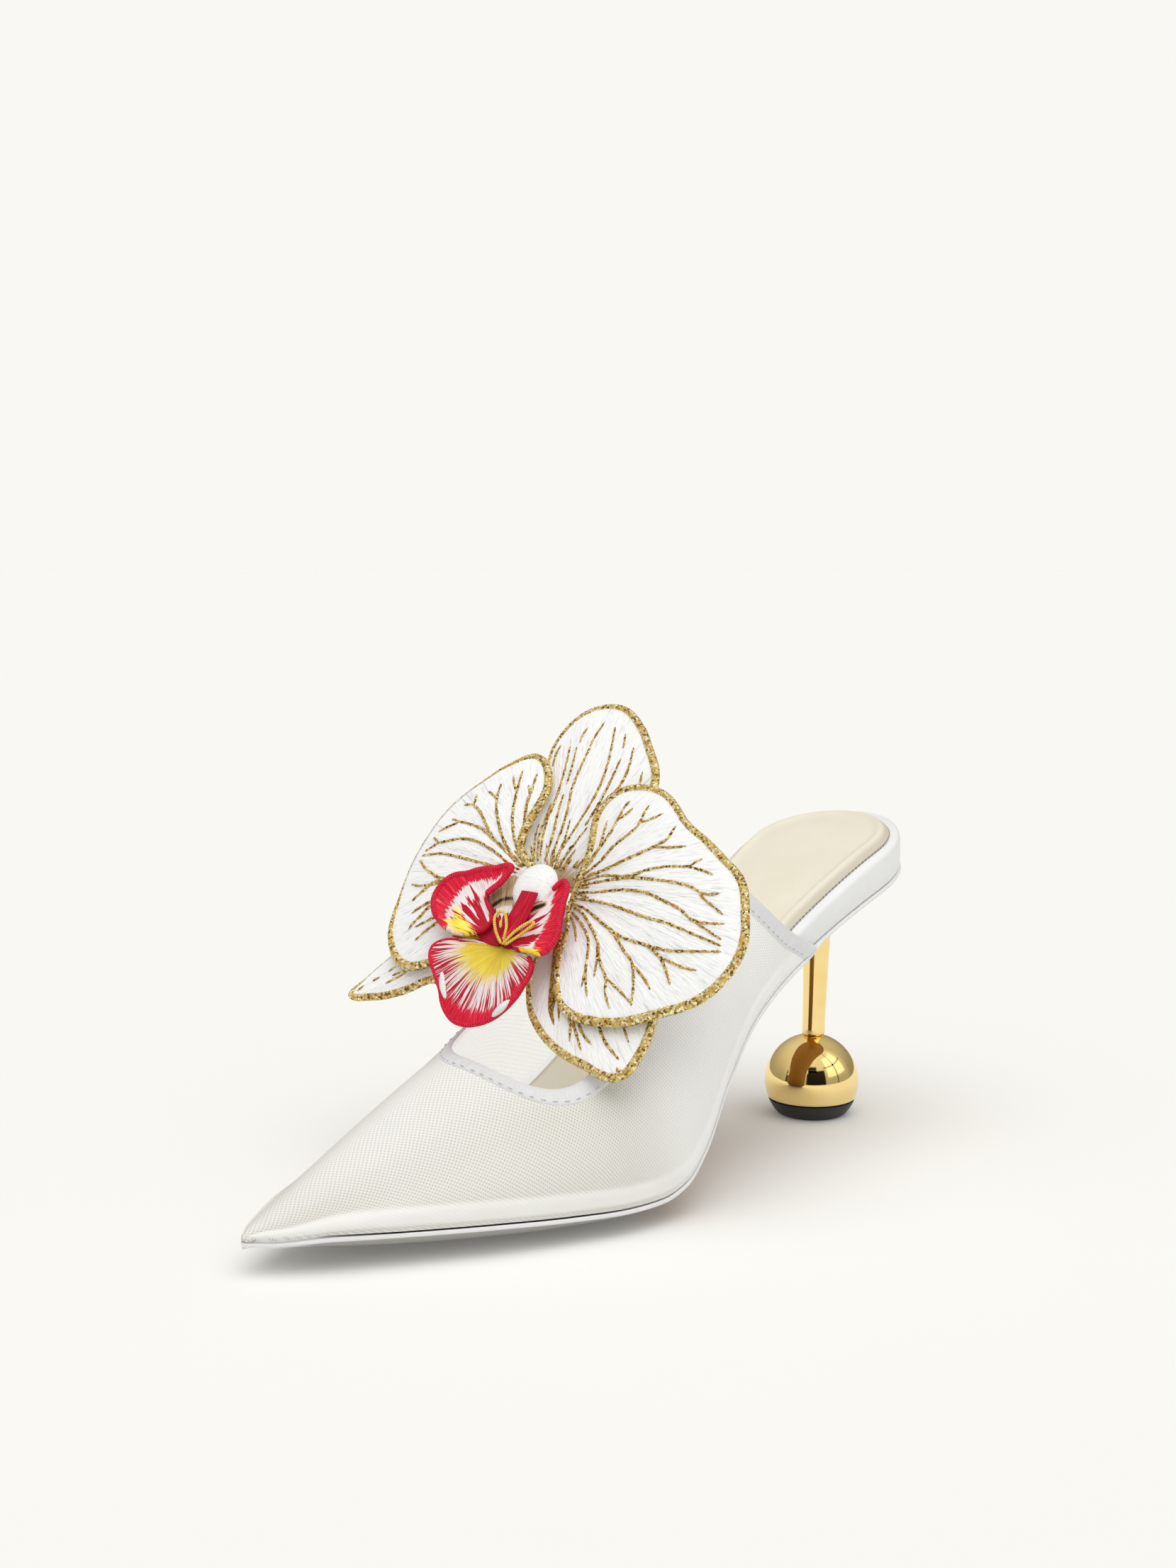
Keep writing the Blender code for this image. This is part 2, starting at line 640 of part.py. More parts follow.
def main():
    clear_scene()
    white = make_material("white_leather", (0.86, 0.87, 0.88), 0.45, 0.0)
    sole_white = make_material("white_outsole", (0.88, 0.88, 0.88), 0.35, 0.0)
    beige = make_material("beige_lining", (0.80, 0.75, 0.64), 0.5, 0.0)
    net = make_material("white_net", (0.87, 0.86, 0.81), 0.7, 0.0)
    gold = make_material("polished_gold", (0.90, 0.62, 0.20), 0.08, 1.0)
    rubber = make_material("black_rubber", (0.012, 0.012, 0.013), 0.5, 0.0)
    silk = make_material("white_silk", (0.90, 0.90, 0.90), 0.5, 0.0)
    red = make_material("red_silk", (0.66, 0.03, 0.08), 0.5, 0.0)
    make_outsole(sole_white)
    make_footbed(white)
    make_insole(beige)
    make_upper(net)
    make_throat_binding(white)
    make_topline_binding(white)
    make_heel(gold, rubber)
    for petal in PETALS:
        make_petal(petal, silk, PETAL_SIDES, PETAL_RINGS, PETAL_THICK, PETAL_RIM_THICK)
    for lobe in LIP_LOBES:
        make_petal(lobe, red, LIP_SIDES, LIP_RINGS, LIP_THICK, LIP_RIM_THICK)
    make_column(silk)


main()
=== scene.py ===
import math
from bisect import bisect_right

import bmesh
import bpy
from mathutils import Matrix, Vector, noise


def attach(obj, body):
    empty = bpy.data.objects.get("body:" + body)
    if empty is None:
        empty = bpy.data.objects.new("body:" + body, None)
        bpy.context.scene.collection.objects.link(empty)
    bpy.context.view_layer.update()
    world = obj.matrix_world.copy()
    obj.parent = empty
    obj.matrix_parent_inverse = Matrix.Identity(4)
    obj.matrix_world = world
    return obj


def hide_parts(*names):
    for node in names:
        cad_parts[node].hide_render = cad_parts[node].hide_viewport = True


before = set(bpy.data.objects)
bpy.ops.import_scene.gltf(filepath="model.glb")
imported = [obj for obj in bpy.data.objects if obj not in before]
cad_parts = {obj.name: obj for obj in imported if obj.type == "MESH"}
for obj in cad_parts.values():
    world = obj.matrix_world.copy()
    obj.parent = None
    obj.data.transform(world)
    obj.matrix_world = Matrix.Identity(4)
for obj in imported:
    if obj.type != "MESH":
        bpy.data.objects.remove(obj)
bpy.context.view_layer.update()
mm = 0.001
seamGap = 0.002 * mm
print("frame loaded:", len(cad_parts), "solids")

# The last of the shoe, in millimetres, with the same sections as the solids
sole = {
    "x": (-26, 0, 20, 40, 60, 80, 95, 105, 113, 124, 140, 160, 180, 195, 205, 210),
    "edge": (79.6, 71.6, 63.2, 53.2, 43.0, 28.4, 13.8, 7.6, 5.6, 5.2, 5.6, 6.4, 7.0, 7.5, 7.8, 8.0),
    "tread": (79.0, 70.8, 62.0, 51.4, 40.6, 25.2, 9.4, 2.2, 0.0, 0.0, 0.0, 1.4, 3.4, 5.5, 7.0, 7.6),
    "outer": (26, 26, 24.6, 23.4, 25.8, 31.6, 36.4, 38.4, 38.6, 37.4, 32.6, 24.4, 14, 5.6, -1, -5.2),
    "inner": (26, 26, 24, 20, 18.8, 23, 29.6, 33.6, 35.4, 36.2, 35, 29.6, 22, 15.8, 11, 8.2),
    "board": (10.4, 10.4, 9.4, 8.2, 6.4, 4.8, 4.0, 3.6, 3.4, 3.2, 3.0, 2.6, 2.2, 1.7, 1.3, 1.1),
    "heelRadius": 26.0, "edgeThick": 1.7, "middleThick": 3.4, "seam": 0.3, "flatShare": 0.42,
}
crest = {
    "x": (28, 63, 80, 100, 118, 134, 150, 178, 195, 205, 210),
    "side": (-3, -5, -7, -9, -11, -13, -13, -11, -8.5, -7, -6.7),
    "top": (112, 100.5, 88, 71, 53, 41.2, 33, 21.2, 15, 11.9, 10.9),
    "full": (1.9, 1.85, 1.85, 1.85, 1.85, 1.9, 1.95, 2, 2, 2, 2),
    "toeTip": 211.3, "noseStart": 205.6, "planStart": 205.2, "legShare": 0.12, "offset": 1.25,
    "toeDrop": 1.1, "dropRun": (194.0, 210.0), "toeStart": 180.0, "toeLength": 25.0,
    "seamLift": 0.1, "toeLift": 0.3, "noseSink": 0.3,
}
topline = {"crestX": 77.0, "sweep": 46.0, "bow": 1.5, "width": 4.6, "girth": 66.0, "lean": 0.8}
throat = {"front": 136.6, "rear": 108.0, "outer": 0.42, "inner": -0.20, "square": 2.7, "rise": 1.25}


def along(table, column, x):  # smooth curve through a column, level between equal rows
    places, values = table["x"], table[column]
    if x <= places[0]:
        return values[0]
    if x >= places[-1]:
        return values[-1]
    i = bisect_right(places, x) - 1

    def slope(k):
        return (values[k + 1] - values[k]) / (places[k + 1] - places[k])

    def tangent(k):
        if k == 0 or k == len(places) - 1:
            return slope(min(k, len(places) - 2))
        a, b = slope(k - 1), slope(k)
        return 0.0 if a * b <= 0 else 2 * a * b / (a + b)

    span = places[i + 1] - places[i]
    t = (x - places[i]) / span
    level = values[i] * (1 + 2 * t) * (1 - t) ** 2 + values[i + 1] * t * t * (3 - 2 * t)
    return level + span * (tangent(i) * t * (1 - t) ** 2 - tangent(i + 1) * t * t * (1 - t))


def ease(low, high, value):  # 0 below low, 1 above high, smooth between
    t = min(max((value - low) / (high - low), 0.0), 1.0)
    return t * t * (3 - 2 * t)


def bell(value, middle, width):  # 1 at the middle, fading to 0 on both sides
    return math.exp(-(((value - middle) / width) ** 2))


def tableAt(rows, value):  # straight lines through the rows
    for (a, p), (b, q) in zip(rows, rows[1:]):
        if value <= b:
            return p + (q - p) * min(max((value - a) / (b - a), 0.0), 1.0)
    return rows[-1][1]


def boardEdge(x, side, grow=0.0):
    if x < 0:
        radius = sole["heelRadius"] + grow
        return side * math.sqrt(max(radius * radius - x * x, 0.0))
    return side * (along(sole, "outer" if side > 0 else "inner", x) + grow)


def edgeHeight(x):
    return along(sole, "edge", x)


def belly(x):
    return edgeHeight(x) - along(sole, "tread", x)


def dish(x):
    return max(belly(x) - (sole["middleThick"] - sole["edgeThick"]), 0.0)


def boardBottom(x):
    return edgeHeight(x) + sole["edgeThick"] + sole["seam"]


def boardTop(x):
    return boardBottom(x) + along(sole, "board", x)


def dishShare(c):
    beyond = max(abs(c) - sole["flatShare"], 0.0) / (1 - sole["flatShare"])
    return 1 - beyond * beyond


def toeShare(x):
    return min(max((x - crest["toeStart"]) / crest["toeLength"], 0.0), 1.0)


def toeDrop(x):  # how far the seam sinks towards the tip
    return crest["toeDrop"] * ease(*crest["dropRun"], x)


def roundedTip(x, start):  # 1 up to start, then a quarter circle down to 0 at the toe tip
    reach = min(max((x - start) / (crest["toeTip"] - start), 0.0), 1.0)
    return math.sqrt(1.0 - reach * reach)


def upperPoint(x, f):  # middle of the wall; f runs from 1 at the outer sole edge over the crest to -1
    side, share = (1, f) if f >= 0 else (-1, -f)
    nose = roundedTip(x, crest["noseStart"])
    middle = along(crest, "side", x)
    edge = boardEdge(x, side) + side * crest["offset"]
    edge = middle + (edge - middle) * roundedTip(x, crest["planStart"])
    low = boardBottom(x) + crest["seamLift"] + crest["toeLift"] * toeShare(x) - toeDrop(x)
    low -= crest["noseSink"] * (1.0 - nose)
    spring = low + along(sole, "board", x) * nose
    top = low + (along(crest, "top", x) - low) * nose
    arch = 1.0 - crest["legShare"]
    if share > arch:
        return Vector((x, edge, spring + (low - spring) * (share - arch) / crest["legShare"]))
    angle = share / arch * math.pi / 2
    power = 2 / along(crest, "full", x)
    y = middle + (edge - middle) * math.sin(angle) ** power
    return Vector((x, y, spring + (top - spring) * math.cos(angle) ** power))


def upperNormal(x, f):
    stepX, stepF = 0.4, 0.006
    ahead = upperPoint(x + stepX, f) - upperPoint(x - stepX, f)
    across = upperPoint(x, f + stepF) - upperPoint(x, f - stepF)
    return ahead.cross(across).normalized()


def toplineX(f, inset):
    share = abs(f)
    slant = topline["bow"] * topline["sweep"] * share ** (topline["bow"] - 1) / topline["girth"]
    edge = topline["crestX"] - topline["sweep"] * share ** topline["bow"]
    return edge + inset * math.hypot(topline["lean"], slant)


def throatEdge(turn, grow):
    halfLength = (throat["front"] - throat["rear"]) / 2 + grow / throat["rise"]
    halfWidth = (throat["outer"] - throat["inner"]) / 2 + grow / topline["girth"]
    power = 2 / throat["square"]
    ahead, across = math.cos(turn), math.sin(turn)
    x = (throat["front"] + throat["rear"]) / 2 + halfLength * math.copysign(abs(ahead) ** power, ahead)
    f = (throat["outer"] + throat["inner"]) / 2 + halfWidth * math.copysign(abs(across) ** power, across)
    return x, f


# Mesh helpers
def rollGrid(bm, columns, rows, place, uvOf=None):  # a grid whose points are moved to place(s, t)
    made = bmesh.ops.create_grid(bm, x_segments=columns, y_segments=rows, size=0.5)["verts"]
    uvLayer = bm.loops.layers.uv.verify()
    spots = {v: (v.co.x + 0.5, v.co.y + 0.5) for v in made}
    for face in {f for v in made for f in v.link_faces}:
        for loop in face.loops:
            s, t = spots[loop.vert]
            loop[uvLayer].uv = uvOf(s, t) if uvOf else (s, t)
    for v, (s, t) in spots.items():
        v.co = Vector(place(s, t)) * mm
    return spots


def joinSeams(bm):
    bmesh.ops.remove_doubles(bm, verts=bm.verts, dist=seamGap)
    bmesh.ops.recalc_face_normals(bm, faces=bm.faces)


def closeUp(bm):  # joins seams and poles and turns the faces outwards
    bmesh.ops.remove_doubles(bm, verts=bm.verts, dist=seamGap)
    bmesh.ops.dissolve_degenerate(bm, edges=bm.edges, dist=seamGap / 2)
    bmesh.ops.recalc_face_normals(bm, faces=bm.faces)


def fillEnds(bm):
    gaps = [e for e in bm.edges if e.is_boundary]
    if gaps:
        bmesh.ops.holes_fill(bm, edges=gaps)
        bmesh.ops.recalc_face_normals(bm, faces=bm.faces)


def spinProfile(bm, profile, steps):  # radius and height of each point, turned round the upright axis
    spots = [bm.verts.new((r, 0.0, z)) for r, z in profile]
    edges = [bm.edges.new(pair) for pair in zip(spots, spots[1:])]
    bmesh.ops.spin(bm, geom=spots + edges, axis=(0, 0, 1), cent=(0, 0, 0), angle=2 * math.pi,
                   steps=steps, use_merge=True)


def addPiece(name, bm, finish, stands=(), sharp=60):
    mesh = bpy.data.meshes.new(name)
    bm.to_mesh(mesh)
    bm.free()
    mesh.materials.append(finish)
    mesh.shade_smooth()
    mesh.set_sharp_from_angle(angle=math.radians(sharp))
    piece = bpy.data.objects.new(name, mesh)
    bpy.context.scene.collection.objects.link(piece)
    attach(piece, "root")
    if stands:
        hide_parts(*stands)
    print("made", name, len(mesh.polygons), "faces")
    return piece


def giveWall(piece, thickness, insideSlot=0):
    wall = piece.modifiers.new("wall", "SOLIDIFY")
    wall.material_offset = insideSlot
    wall.thickness = thickness * mm
    wall.offset = 0.0


def evenSteps(points, spacing):
    lengths = [0.0]
    for a, b in zip(points, points[1:]):
        lengths.append(lengths[-1] + (b - a).length)
    count = max(3, round(lengths[-1] / spacing))
    steps = []
    k = 0
    for i in range(count + 1):
        goal = lengths[-1] * i / count
        while k < len(points) - 2 and lengths[k + 1] < goal:
            k += 1
        span = lengths[k + 1] - lengths[k]
        steps.append(points[k].lerp(points[k + 1], (goal - lengths[k]) / span if span else 0.0))
    return steps


def smoothPath(points, spacing, closed=False):
    knots = [Vector(p) for p in points]
    count, perSpan = len(knots), 10
    dense = []
    for k in range(count if closed else count - 1):
        b, c = knots[k], knots[(k + 1) % count]
        a = knots[k - 1] if closed or k else b
        d = knots[(k + 2) % count] if closed or k + 2 < count else c
        for i in range(perSpan):
            t = i / perSpan
            bend = (2 * a - 5 * b + 4 * c - d) * t * t + (3 * b - a - 3 * c + d) * t ** 3
            dense.append((2 * b + (c - a) * t + bend) * 0.5)
    dense.append(knots[0] if closed else knots[-1])
    return evenSteps(dense, spacing)


def addCord(bm, path, radius, facing, sides=8, closed=False, ridge=0.0, pitch=1.1, uvFrom=(0.0, 0.0)):
    rows = len(path) - 1
    frames = []
    for k, p in enumerate(path):
        before = path[(k - 1) % rows] if closed else path[max(k - 1, 0)]
        after = path[(k + 1) % rows] if closed else path[min(k + 1, rows)]
        heading = (after - before).normalized()
        side = heading.cross(facing[k] if isinstance(facing, list) else facing).normalized()
        frames.append((p, side, side.cross(heading)))
    step = (path[1] - path[0]).length
    winds = round(rows * step / pitch) * 2 * math.pi / rows

    def place(s, t):
        k = round(t * rows)
        p, side, lift = frames[k]
        a = -2 * math.pi * (round(s * sides) % sides) / sides
        r = radius(k / rows) if callable(radius) else radius
        if not closed:
            r *= 0.0 if k in (0, rows) else 0.72 if k in (1, rows - 1) else 1.0  # rounded ends
        r *= 1 + ridge * math.sin(2 * a + winds * k)
        return p + side * (r * math.cos(a)) + lift * (r * math.sin(a))

    rollGrid(bm, sides, rows, place, lambda s, t: (uvFrom[0] + s, uvFrom[1] + t * rows * step))


def addStitches(bm, path, normals, on, off, radius):
    for k in range(0, len(path) - on, on + off):
        run = []
        for i in range(on + 1):
            lift = -0.3 if i in (0, on) else 0.5  # the ends dive into the cloth
            run.append(path[k + i] + normals[k + i] * radius * lift)
        addCord(bm, run, radius, normals[k + on // 2], sides=6)


# Material helpers
def newFinish(name, roughness=0.5, metallic=0.0, sheen=0.0, coat=0.0, shine=0.5):
    finish = bpy.data.materials.new(name)
    finish.use_nodes = True
    tree = finish.node_tree
    shader = tree.nodes["Principled BSDF"]
    shader.inputs["Roughness"].default_value = roughness
    shader.inputs["Metallic"].default_value = metallic
    shader.inputs["Specular IOR Level"].default_value = shine
    shader.inputs["Sheen Weight"].default_value = sheen
    shader.inputs["Sheen Roughness"].default_value = 0.35
    shader.inputs["Coat Weight"].default_value = coat
    shader.inputs["Coat Roughness"].default_value = 0.18
    return finish, tree, shader


def feed(tree, socket, value):
    if isinstance(value, bpy.types.NodeSocket):
        tree.links.new(value, socket)
    elif isinstance(value, (tuple, list)) and len(value) == 3 and socket.type == "RGBA":
        socket.default_value = (*value, 1.0)
    else:
        socket.default_value = value


def addNode(tree, kind, inputs=None, **settings):
    made = tree.nodes.new("ShaderNode" + kind)
    for key, value in settings.items():
        setattr(made, key, value)
    for key, value in (inputs or {}).items():
        feed(tree, made.inputs[key], value)
    return made


def sums(tree, operation, a, b=0.0):
    return addNode(tree, "Math", {0: a, 1: b}, operation=operation).outputs[0]


def plus(tree, a, b):
    return sums(tree, "ADD", a, b)


def times(tree, a, b):
    return sums(tree, "MULTIPLY", a, b)


def oneLess(tree, a):  # what a leaves of 1
    return sums(tree, "SUBTRACT", 1.0, a)


def spread(tree, value, low, high, outLow=0.0, outHigh=1.0):
    inputs = {"Value": value, "From Min": low, "From Max": high, "To Min": outLow, "To Max": outHigh}
    return addNode(tree, "MapRange", inputs, interpolation_type="SMOOTHSTEP").outputs[0]


def blendColour(tree, share, a, b, how="MIX"):
    made = addNode(tree, "Mix", data_type="RGBA", blend_type=how)
    feed(tree, made.inputs[0], share)
    feed(tree, made.inputs[6], a)
    feed(tree, made.inputs[7], b)
    return made.outputs[2]


def ramp(tree, value, stops):
    made = addNode(tree, "ValToRGB", {"Fac": value})
    bar = made.color_ramp.elements
    while len(bar) < len(stops):
        bar.new(0.5)
    for spot, (place, colour) in zip(bar, stops):
        spot.position = place
        spot.color = (*colour, 1.0)
    return made.outputs[0]


def speckle(tree, where, scale, detail=3.0, rough=0.55):
    inputs = {"Vector": where, "Scale": scale, "Detail": detail, "Roughness": rough}
    return addNode(tree, "TexNoise", inputs).outputs[0]


def objectPlace(tree):
    return addNode(tree, "TexCoord").outputs["Object"]


def surfaceUv(tree):
    split = addNode(tree, "SeparateXYZ", {0: addNode(tree, "UVMap").outputs[0]})
    return split.outputs[0], split.outputs[1]


def streaks(tree, u, v, across, lengthwise, offset=0.0):  # thread-like noise, long in v
    inputs = {0: times(tree, u, across), 1: times(tree, v, lengthwise), 2: offset}
    place = addNode(tree, "CombineXYZ", inputs).outputs[0]
    return speckle(tree, place, 1.0, 2.0)


def trait(tree, name):
    return addNode(tree, "Attribute", attribute_name=name).outputs["Fac"]


def bumpBy(tree, shader, height, strength, depth):
    made = addNode(tree, "Bump", {"Height": height, "Strength": strength, "Distance": depth * mm})
    tree.links.new(made.outputs[0], shader.inputs["Normal"])


def paint(tree, shader, colour):
    feed(tree, shader.inputs["Base Color"], colour)


def letGlow(shader, colour, strength):
    shader.inputs["Emission Color"].default_value = (*colour, 1.0)
    shader.inputs["Emission Strength"].default_value = strength


# Finishes
def leatherFinish(name, colour, roughness, coat, grain, waistColour=None, treadAndShadeColour=None):
    finish, tree, shader = newFinish(name, roughness, coat=coat)
    place = objectPlace(tree)
    cells = addNode(tree, "TexVoronoi", {"Vector": place, "Scale": grain}).outputs["Distance"]
    clouds = speckle(tree, place, 60.0, 4.0)
    dark = tuple(c * 0.95 for c in colour)
    tone = ramp(tree, clouds, [(0.3, dark), (0.65, colour)])
    # underside colour: a brown waist and a grey tread, the grey tread partly painted shade under the sole's
    # edge
    if waistColour:
        ahead = addNode(tree, "SeparateXYZ", {0: place}).outputs[0]
        underside = blendColour(tree, spread(tree, ahead, 100 * mm, 118 * mm), waistColour, treadAndShadeColour)
        tone = blendColour(tree, trait(tree, "under"), tone, underside)
    paint(tree, shader, tone)
    wear = spread(tree, clouds, 0.25, 0.75, roughness - 0.05, roughness + 0.07)
    feed(tree, shader.inputs["Roughness"], wear)
    bumpBy(tree, shader, cells, 0.16, 0.06)
    return finish


def tapeFinish(name, through, dark, light):  # through: painted glow standing for the daylight that the thin cloth lets in
    finish, tree, shader = newFinish(name, 0.38, sheen=0.25, coat=0.1)
    letGlow(shader, (0.97, 0.98, 1.0), through)
    u, v = surfaceUv(tree)
    fine = streaks(tree, u, v, 0.5, 6.0)
    cross = sums(tree, "SINE", times(tree, v, 14.0))
    paint(tree, shader, ramp(tree, fine, [(0.3, dark), (0.7, light)]))
    bumpBy(tree, shader, plus(tree, fine, times(tree, cross, 0.25)), 0.25, 0.12)
    return finish


def netFinish(name, through, cloth, hole, tintShadeCloth, tintShadeHole):
    finish, tree, shader = newFinish(name, 0.6, sheen=0.2)
    # through: painted glow standing for the light let in through the cloth
    letGlow(shader, (0.94, 0.97, 1.0), through)
    u, v = surfaceUv(tree)
    bias, pitch = math.radians(29.0), 0.85
    turns = 2 * math.pi / pitch

    def wave(a, b):
        across = plus(tree, times(tree, u, a * turns), times(tree, v, b * turns))
        return sums(tree, "COSINE", across)

    weave = plus(tree, wave(-math.sin(bias), math.cos(bias)), wave(math.cos(bias), math.sin(bias)))
    # the net's tone by place: partly the sock seen through the cloth, partly painted light and shade that
    # evens out the lighting over the vamp
    band, tintAndShade = trait(tree, "band"), trait(tree, "tintAndShade")
    holes = times(tree, spread(tree, weave, 0.0, 1.7), oneLess(tree, times(tree, band, 0.85)))
    clouds = speckle(tree, objectPlace(tree), 45.0, 2.0)
    cloth = blendColour(tree, tintAndShade, cloth, tintShadeCloth)
    hole = blendColour(tree, tintAndShade, hole, tintShadeHole)
    cloth = blendColour(tree, spread(tree, clouds, 0.3, 0.7, 0.0, 0.10), cloth, (0.82, 0.78, 0.69))
    paint(tree, shader, blendColour(tree, holes, cloth, hole))
    bumpBy(tree, shader, oneLess(tree, holes), 0.4, 0.16)
    return finish


def sockFinish():
    finish, tree, shader = newFinish("beigeSock", 0.42, sheen=0.1)
    place = objectPlace(tree)
    cells = addNode(tree, "TexVoronoi", {"Vector": place, "Scale": 1500.0}).outputs["Distance"]
    clouds = speckle(tree, place, 40.0, 4.0)
    tone = ramp(tree, clouds, [(0.3, (0.79, 0.74, 0.605)), (0.7, (0.85, 0.80, 0.67))])
    # painted shade on the padded edge's outer slope, darkest at the edge
    tone = blendColour(tree, times(tree, trait(tree, "paintedEdgeShade"), 0.8), tone, (0.58, 0.53, 0.42))
    paint(tree, shader, tone)
    bumpBy(tree, shader, cells, 0.12, 0.05)
    return finish


def polishedGold():
    finish, tree, shader = newFinish("polishedGold", 0.05, 1.0)
    clouds = speckle(tree, objectPlace(tree), 120.0, 4.0)
    paint(tree, shader, ramp(tree, clouds, [(0.3, (0.95, 0.71, 0.295)), (0.7, (0.98, 0.765, 0.355))]))
    feed(tree, shader.inputs["Roughness"], spread(tree, clouds, 0.3, 0.8, 0.025, 0.07))
    return finish


def rubberFinish():
    finish, tree, shader = newFinish("blackRubber", 0.5)
    grain = speckle(tree, objectPlace(tree), 1600.0, 3.0)
    paint(tree, shader, ramp(tree, grain, [(0.3, (0.008, 0.008, 0.009)), (0.7, (0.02, 0.02, 0.021))]))
    bumpBy(tree, shader, grain, 0.3, 0.1)
    return finish


def goldThread(name, scale, dark, gold, pale):
    finish, tree, shader = newFinish(name, 0.36, 0.6)
    cells = addNode(tree, "TexVoronoi", {"Vector": objectPlace(tree), "Scale": scale})
    tone = addNode(tree, "SeparateColor", {0: cells.outputs["Color"]}).outputs[0]
    paint(tree, shader, ramp(tree, tone, [(0.08, dark), (0.34, gold), (0.57, gold), (0.84, pale)]))
    feed(tree, shader.inputs["Roughness"], spread(tree, tone, 0.0, 1.0, 0.5, 0.26))
    bumpBy(tree, shader, plus(tree, cells.outputs["Distance"], tone), 0.7, 0.25)
    return finish


def petalSilk():
    finish, tree, shader = newFinish("whiteSilk", 0.48, sheen=0.3)
    u, v = surfaceUv(tree)
    threads = streaks(tree, u, v, 2.4, 0.14)
    bundles = streaks(tree, u, v, 0.8, 0.06, 7.0)
    mixed = plus(tree, times(tree, threads, 0.6), times(tree, bundles, 0.4))
    white = ramp(tree, mixed, [(0.34, (0.70, 0.71, 0.73)), (0.45, (0.94, 0.945, 0.95)),
                               (0.62, (0.98, 0.985, 0.985))])
    swing = times(tree, sums(tree, "SUBTRACT", threads, 0.5), 1.6)
    gilt = spread(tree, plus(tree, trait(tree, "gild"), swing), 0.35, 0.75)
    paint(tree, shader, blendColour(tree, gilt, white, (0.46, 0.30, 0.11)))
    bumpBy(tree, shader, mixed, 0.7, 0.5)
    return finish


def lipSilk():
    finish, tree, shader = newFinish("redSilk", 0.42, shine=0.2)
    u, v = surfaceUv(tree)
    threads = streaks(tree, u, v, 1.9, 0.12)
    strokes = streaks(tree, u, v, 0.55, 0.05, 3.0)
    swing = times(tree, sums(tree, "SUBTRACT", threads, 0.5), 1.9)
    white = ramp(tree, threads, [(0.28, (0.84, 0.50, 0.53)), (0.5, (0.93, 0.88, 0.87))])
    rimRed = ramp(tree, threads, [(0.3, (0.55, 0.003, 0.022)), (0.52, (0.80, 0.010, 0.046)),
                                  (0.75, (0.93, 0.07, 0.12))])
    stripeRed = ramp(tree, threads, [(0.3, (0.38, 0.003, 0.016)), (0.6, (0.63, 0.008, 0.040)),
                                     (0.8, (0.76, 0.04, 0.09))])
    mixed = times(tree, plus(tree, threads, strokes), 0.5)
    yellow = ramp(tree, mixed, [(0.36, (0.66, 0.31, 0.012)), (0.47, (0.97, 0.71, 0.035)),
                                (0.62, (1.0, 0.89, 0.16))])
    # brown threads that turn near black: partly the threads' colour, partly painted shade in the hollow and
    # the slits
    depth = plus(tree, trait(tree, "brownAndShade"), times(tree, swing, 0.6))
    brownThreadsAndShade = ramp(tree, depth, [(0.5, (0.62, 0.50, 0.32)), (0.7, (0.40, 0.28, 0.14)),
                               (0.95, (0.035, 0.018, 0.012))])

    def stroked(name, sway, low, high):
        return spread(tree, plus(tree, trait(tree, name), sway), low, high)

    lines = times(tree, sums(tree, "SUBTRACT", strokes, 0.5), 3.2)
    body = blendColour(tree, stroked("blush", lines, 0.44, 0.56), white, stripeRed)
    body = blendColour(tree, stroked("rim", swing, 0.42, 0.58), body, rimRed)
    gilt = stroked("gild", times(tree, swing, 1.5), 0.40, 0.60)
    gilt = times(tree, gilt, spread(tree, trait(tree, "gild"), 0.06, 0.25))
    body = blendColour(tree, gilt, body, yellow)
    body = blendColour(tree, stroked("brownAndShade", times(tree, swing, 0.7), 0.28, 0.39), body, brownThreadsAndShade)
    paint(tree, shader, body)
    bumpBy(tree, shader, threads, 0.7, 0.45)
    return finish


def threadFinish(name, dark, light, sheen=0.2, shine=0.5):
    finish, tree, shader = newFinish(name, 0.5, sheen=sheen, shine=shine)
    u, v = surfaceUv(tree)
    twist = sums(tree, "SINE", plus(tree, times(tree, v, 9.0), times(tree, u, 2 * math.pi)))
    tone = plus(tree, times(tree, twist, 0.25), speckle(tree, objectPlace(tree), 900.0))
    paint(tree, shader, ramp(tree, tone, [(0.25, dark), (0.75, light)]))
    bumpBy(tree, shader, twist, 0.5, 0.12)
    return finish


white = leatherFinish("whiteLeather", (0.87, 0.875, 0.875), 0.36, 0.2, 1300.0)
soleWhite = leatherFinish("whiteSole", (0.86, 0.86, 0.855), 0.42, 0.05, 2200.0,
                          (0.30, 0.145, 0.028), (0.42, 0.41, 0.39))
# the tape glows a little as painted light; the inside copy is lighter and glows more, painted light on the
# tape's shaded inner faces
tape = tapeFinish("whiteSatinTape", 0.1, (0.57, 0.575, 0.59), (0.68, 0.682, 0.695))
tapeInsideLit = tapeFinish("whiteSatinTapeInsideLit", 0.3, (0.86, 0.86, 0.86), (0.92, 0.92, 0.92))
net = netFinish("whiteNet", 0.0, (0.97, 0.97, 0.965), (0.79, 0.79, 0.78),
                (0.735, 0.72, 0.675), (0.525, 0.503, 0.446))
# the inside of the net is a lighter copy that glows: painted light inside the shoe
netInsideLit = netFinish("whiteNetInsideLit", 0.34, (0.93, 0.93, 0.93), (0.74, 0.74, 0.74),
                      (0.93, 0.93, 0.93), (0.73, 0.73, 0.72))
beige = sockFinish()
gold = polishedGold()
rubber = rubberFinish()
goldCord = goldThread("goldCord", 1700.0, (0.20, 0.10, 0.015), (0.77, 0.53, 0.145), (1.0, 0.94, 0.60))
goldVein = goldThread("goldVein", 1900.0, (0.14, 0.06, 0.007), (0.60, 0.37, 0.085), (1.0, 0.86, 0.44))
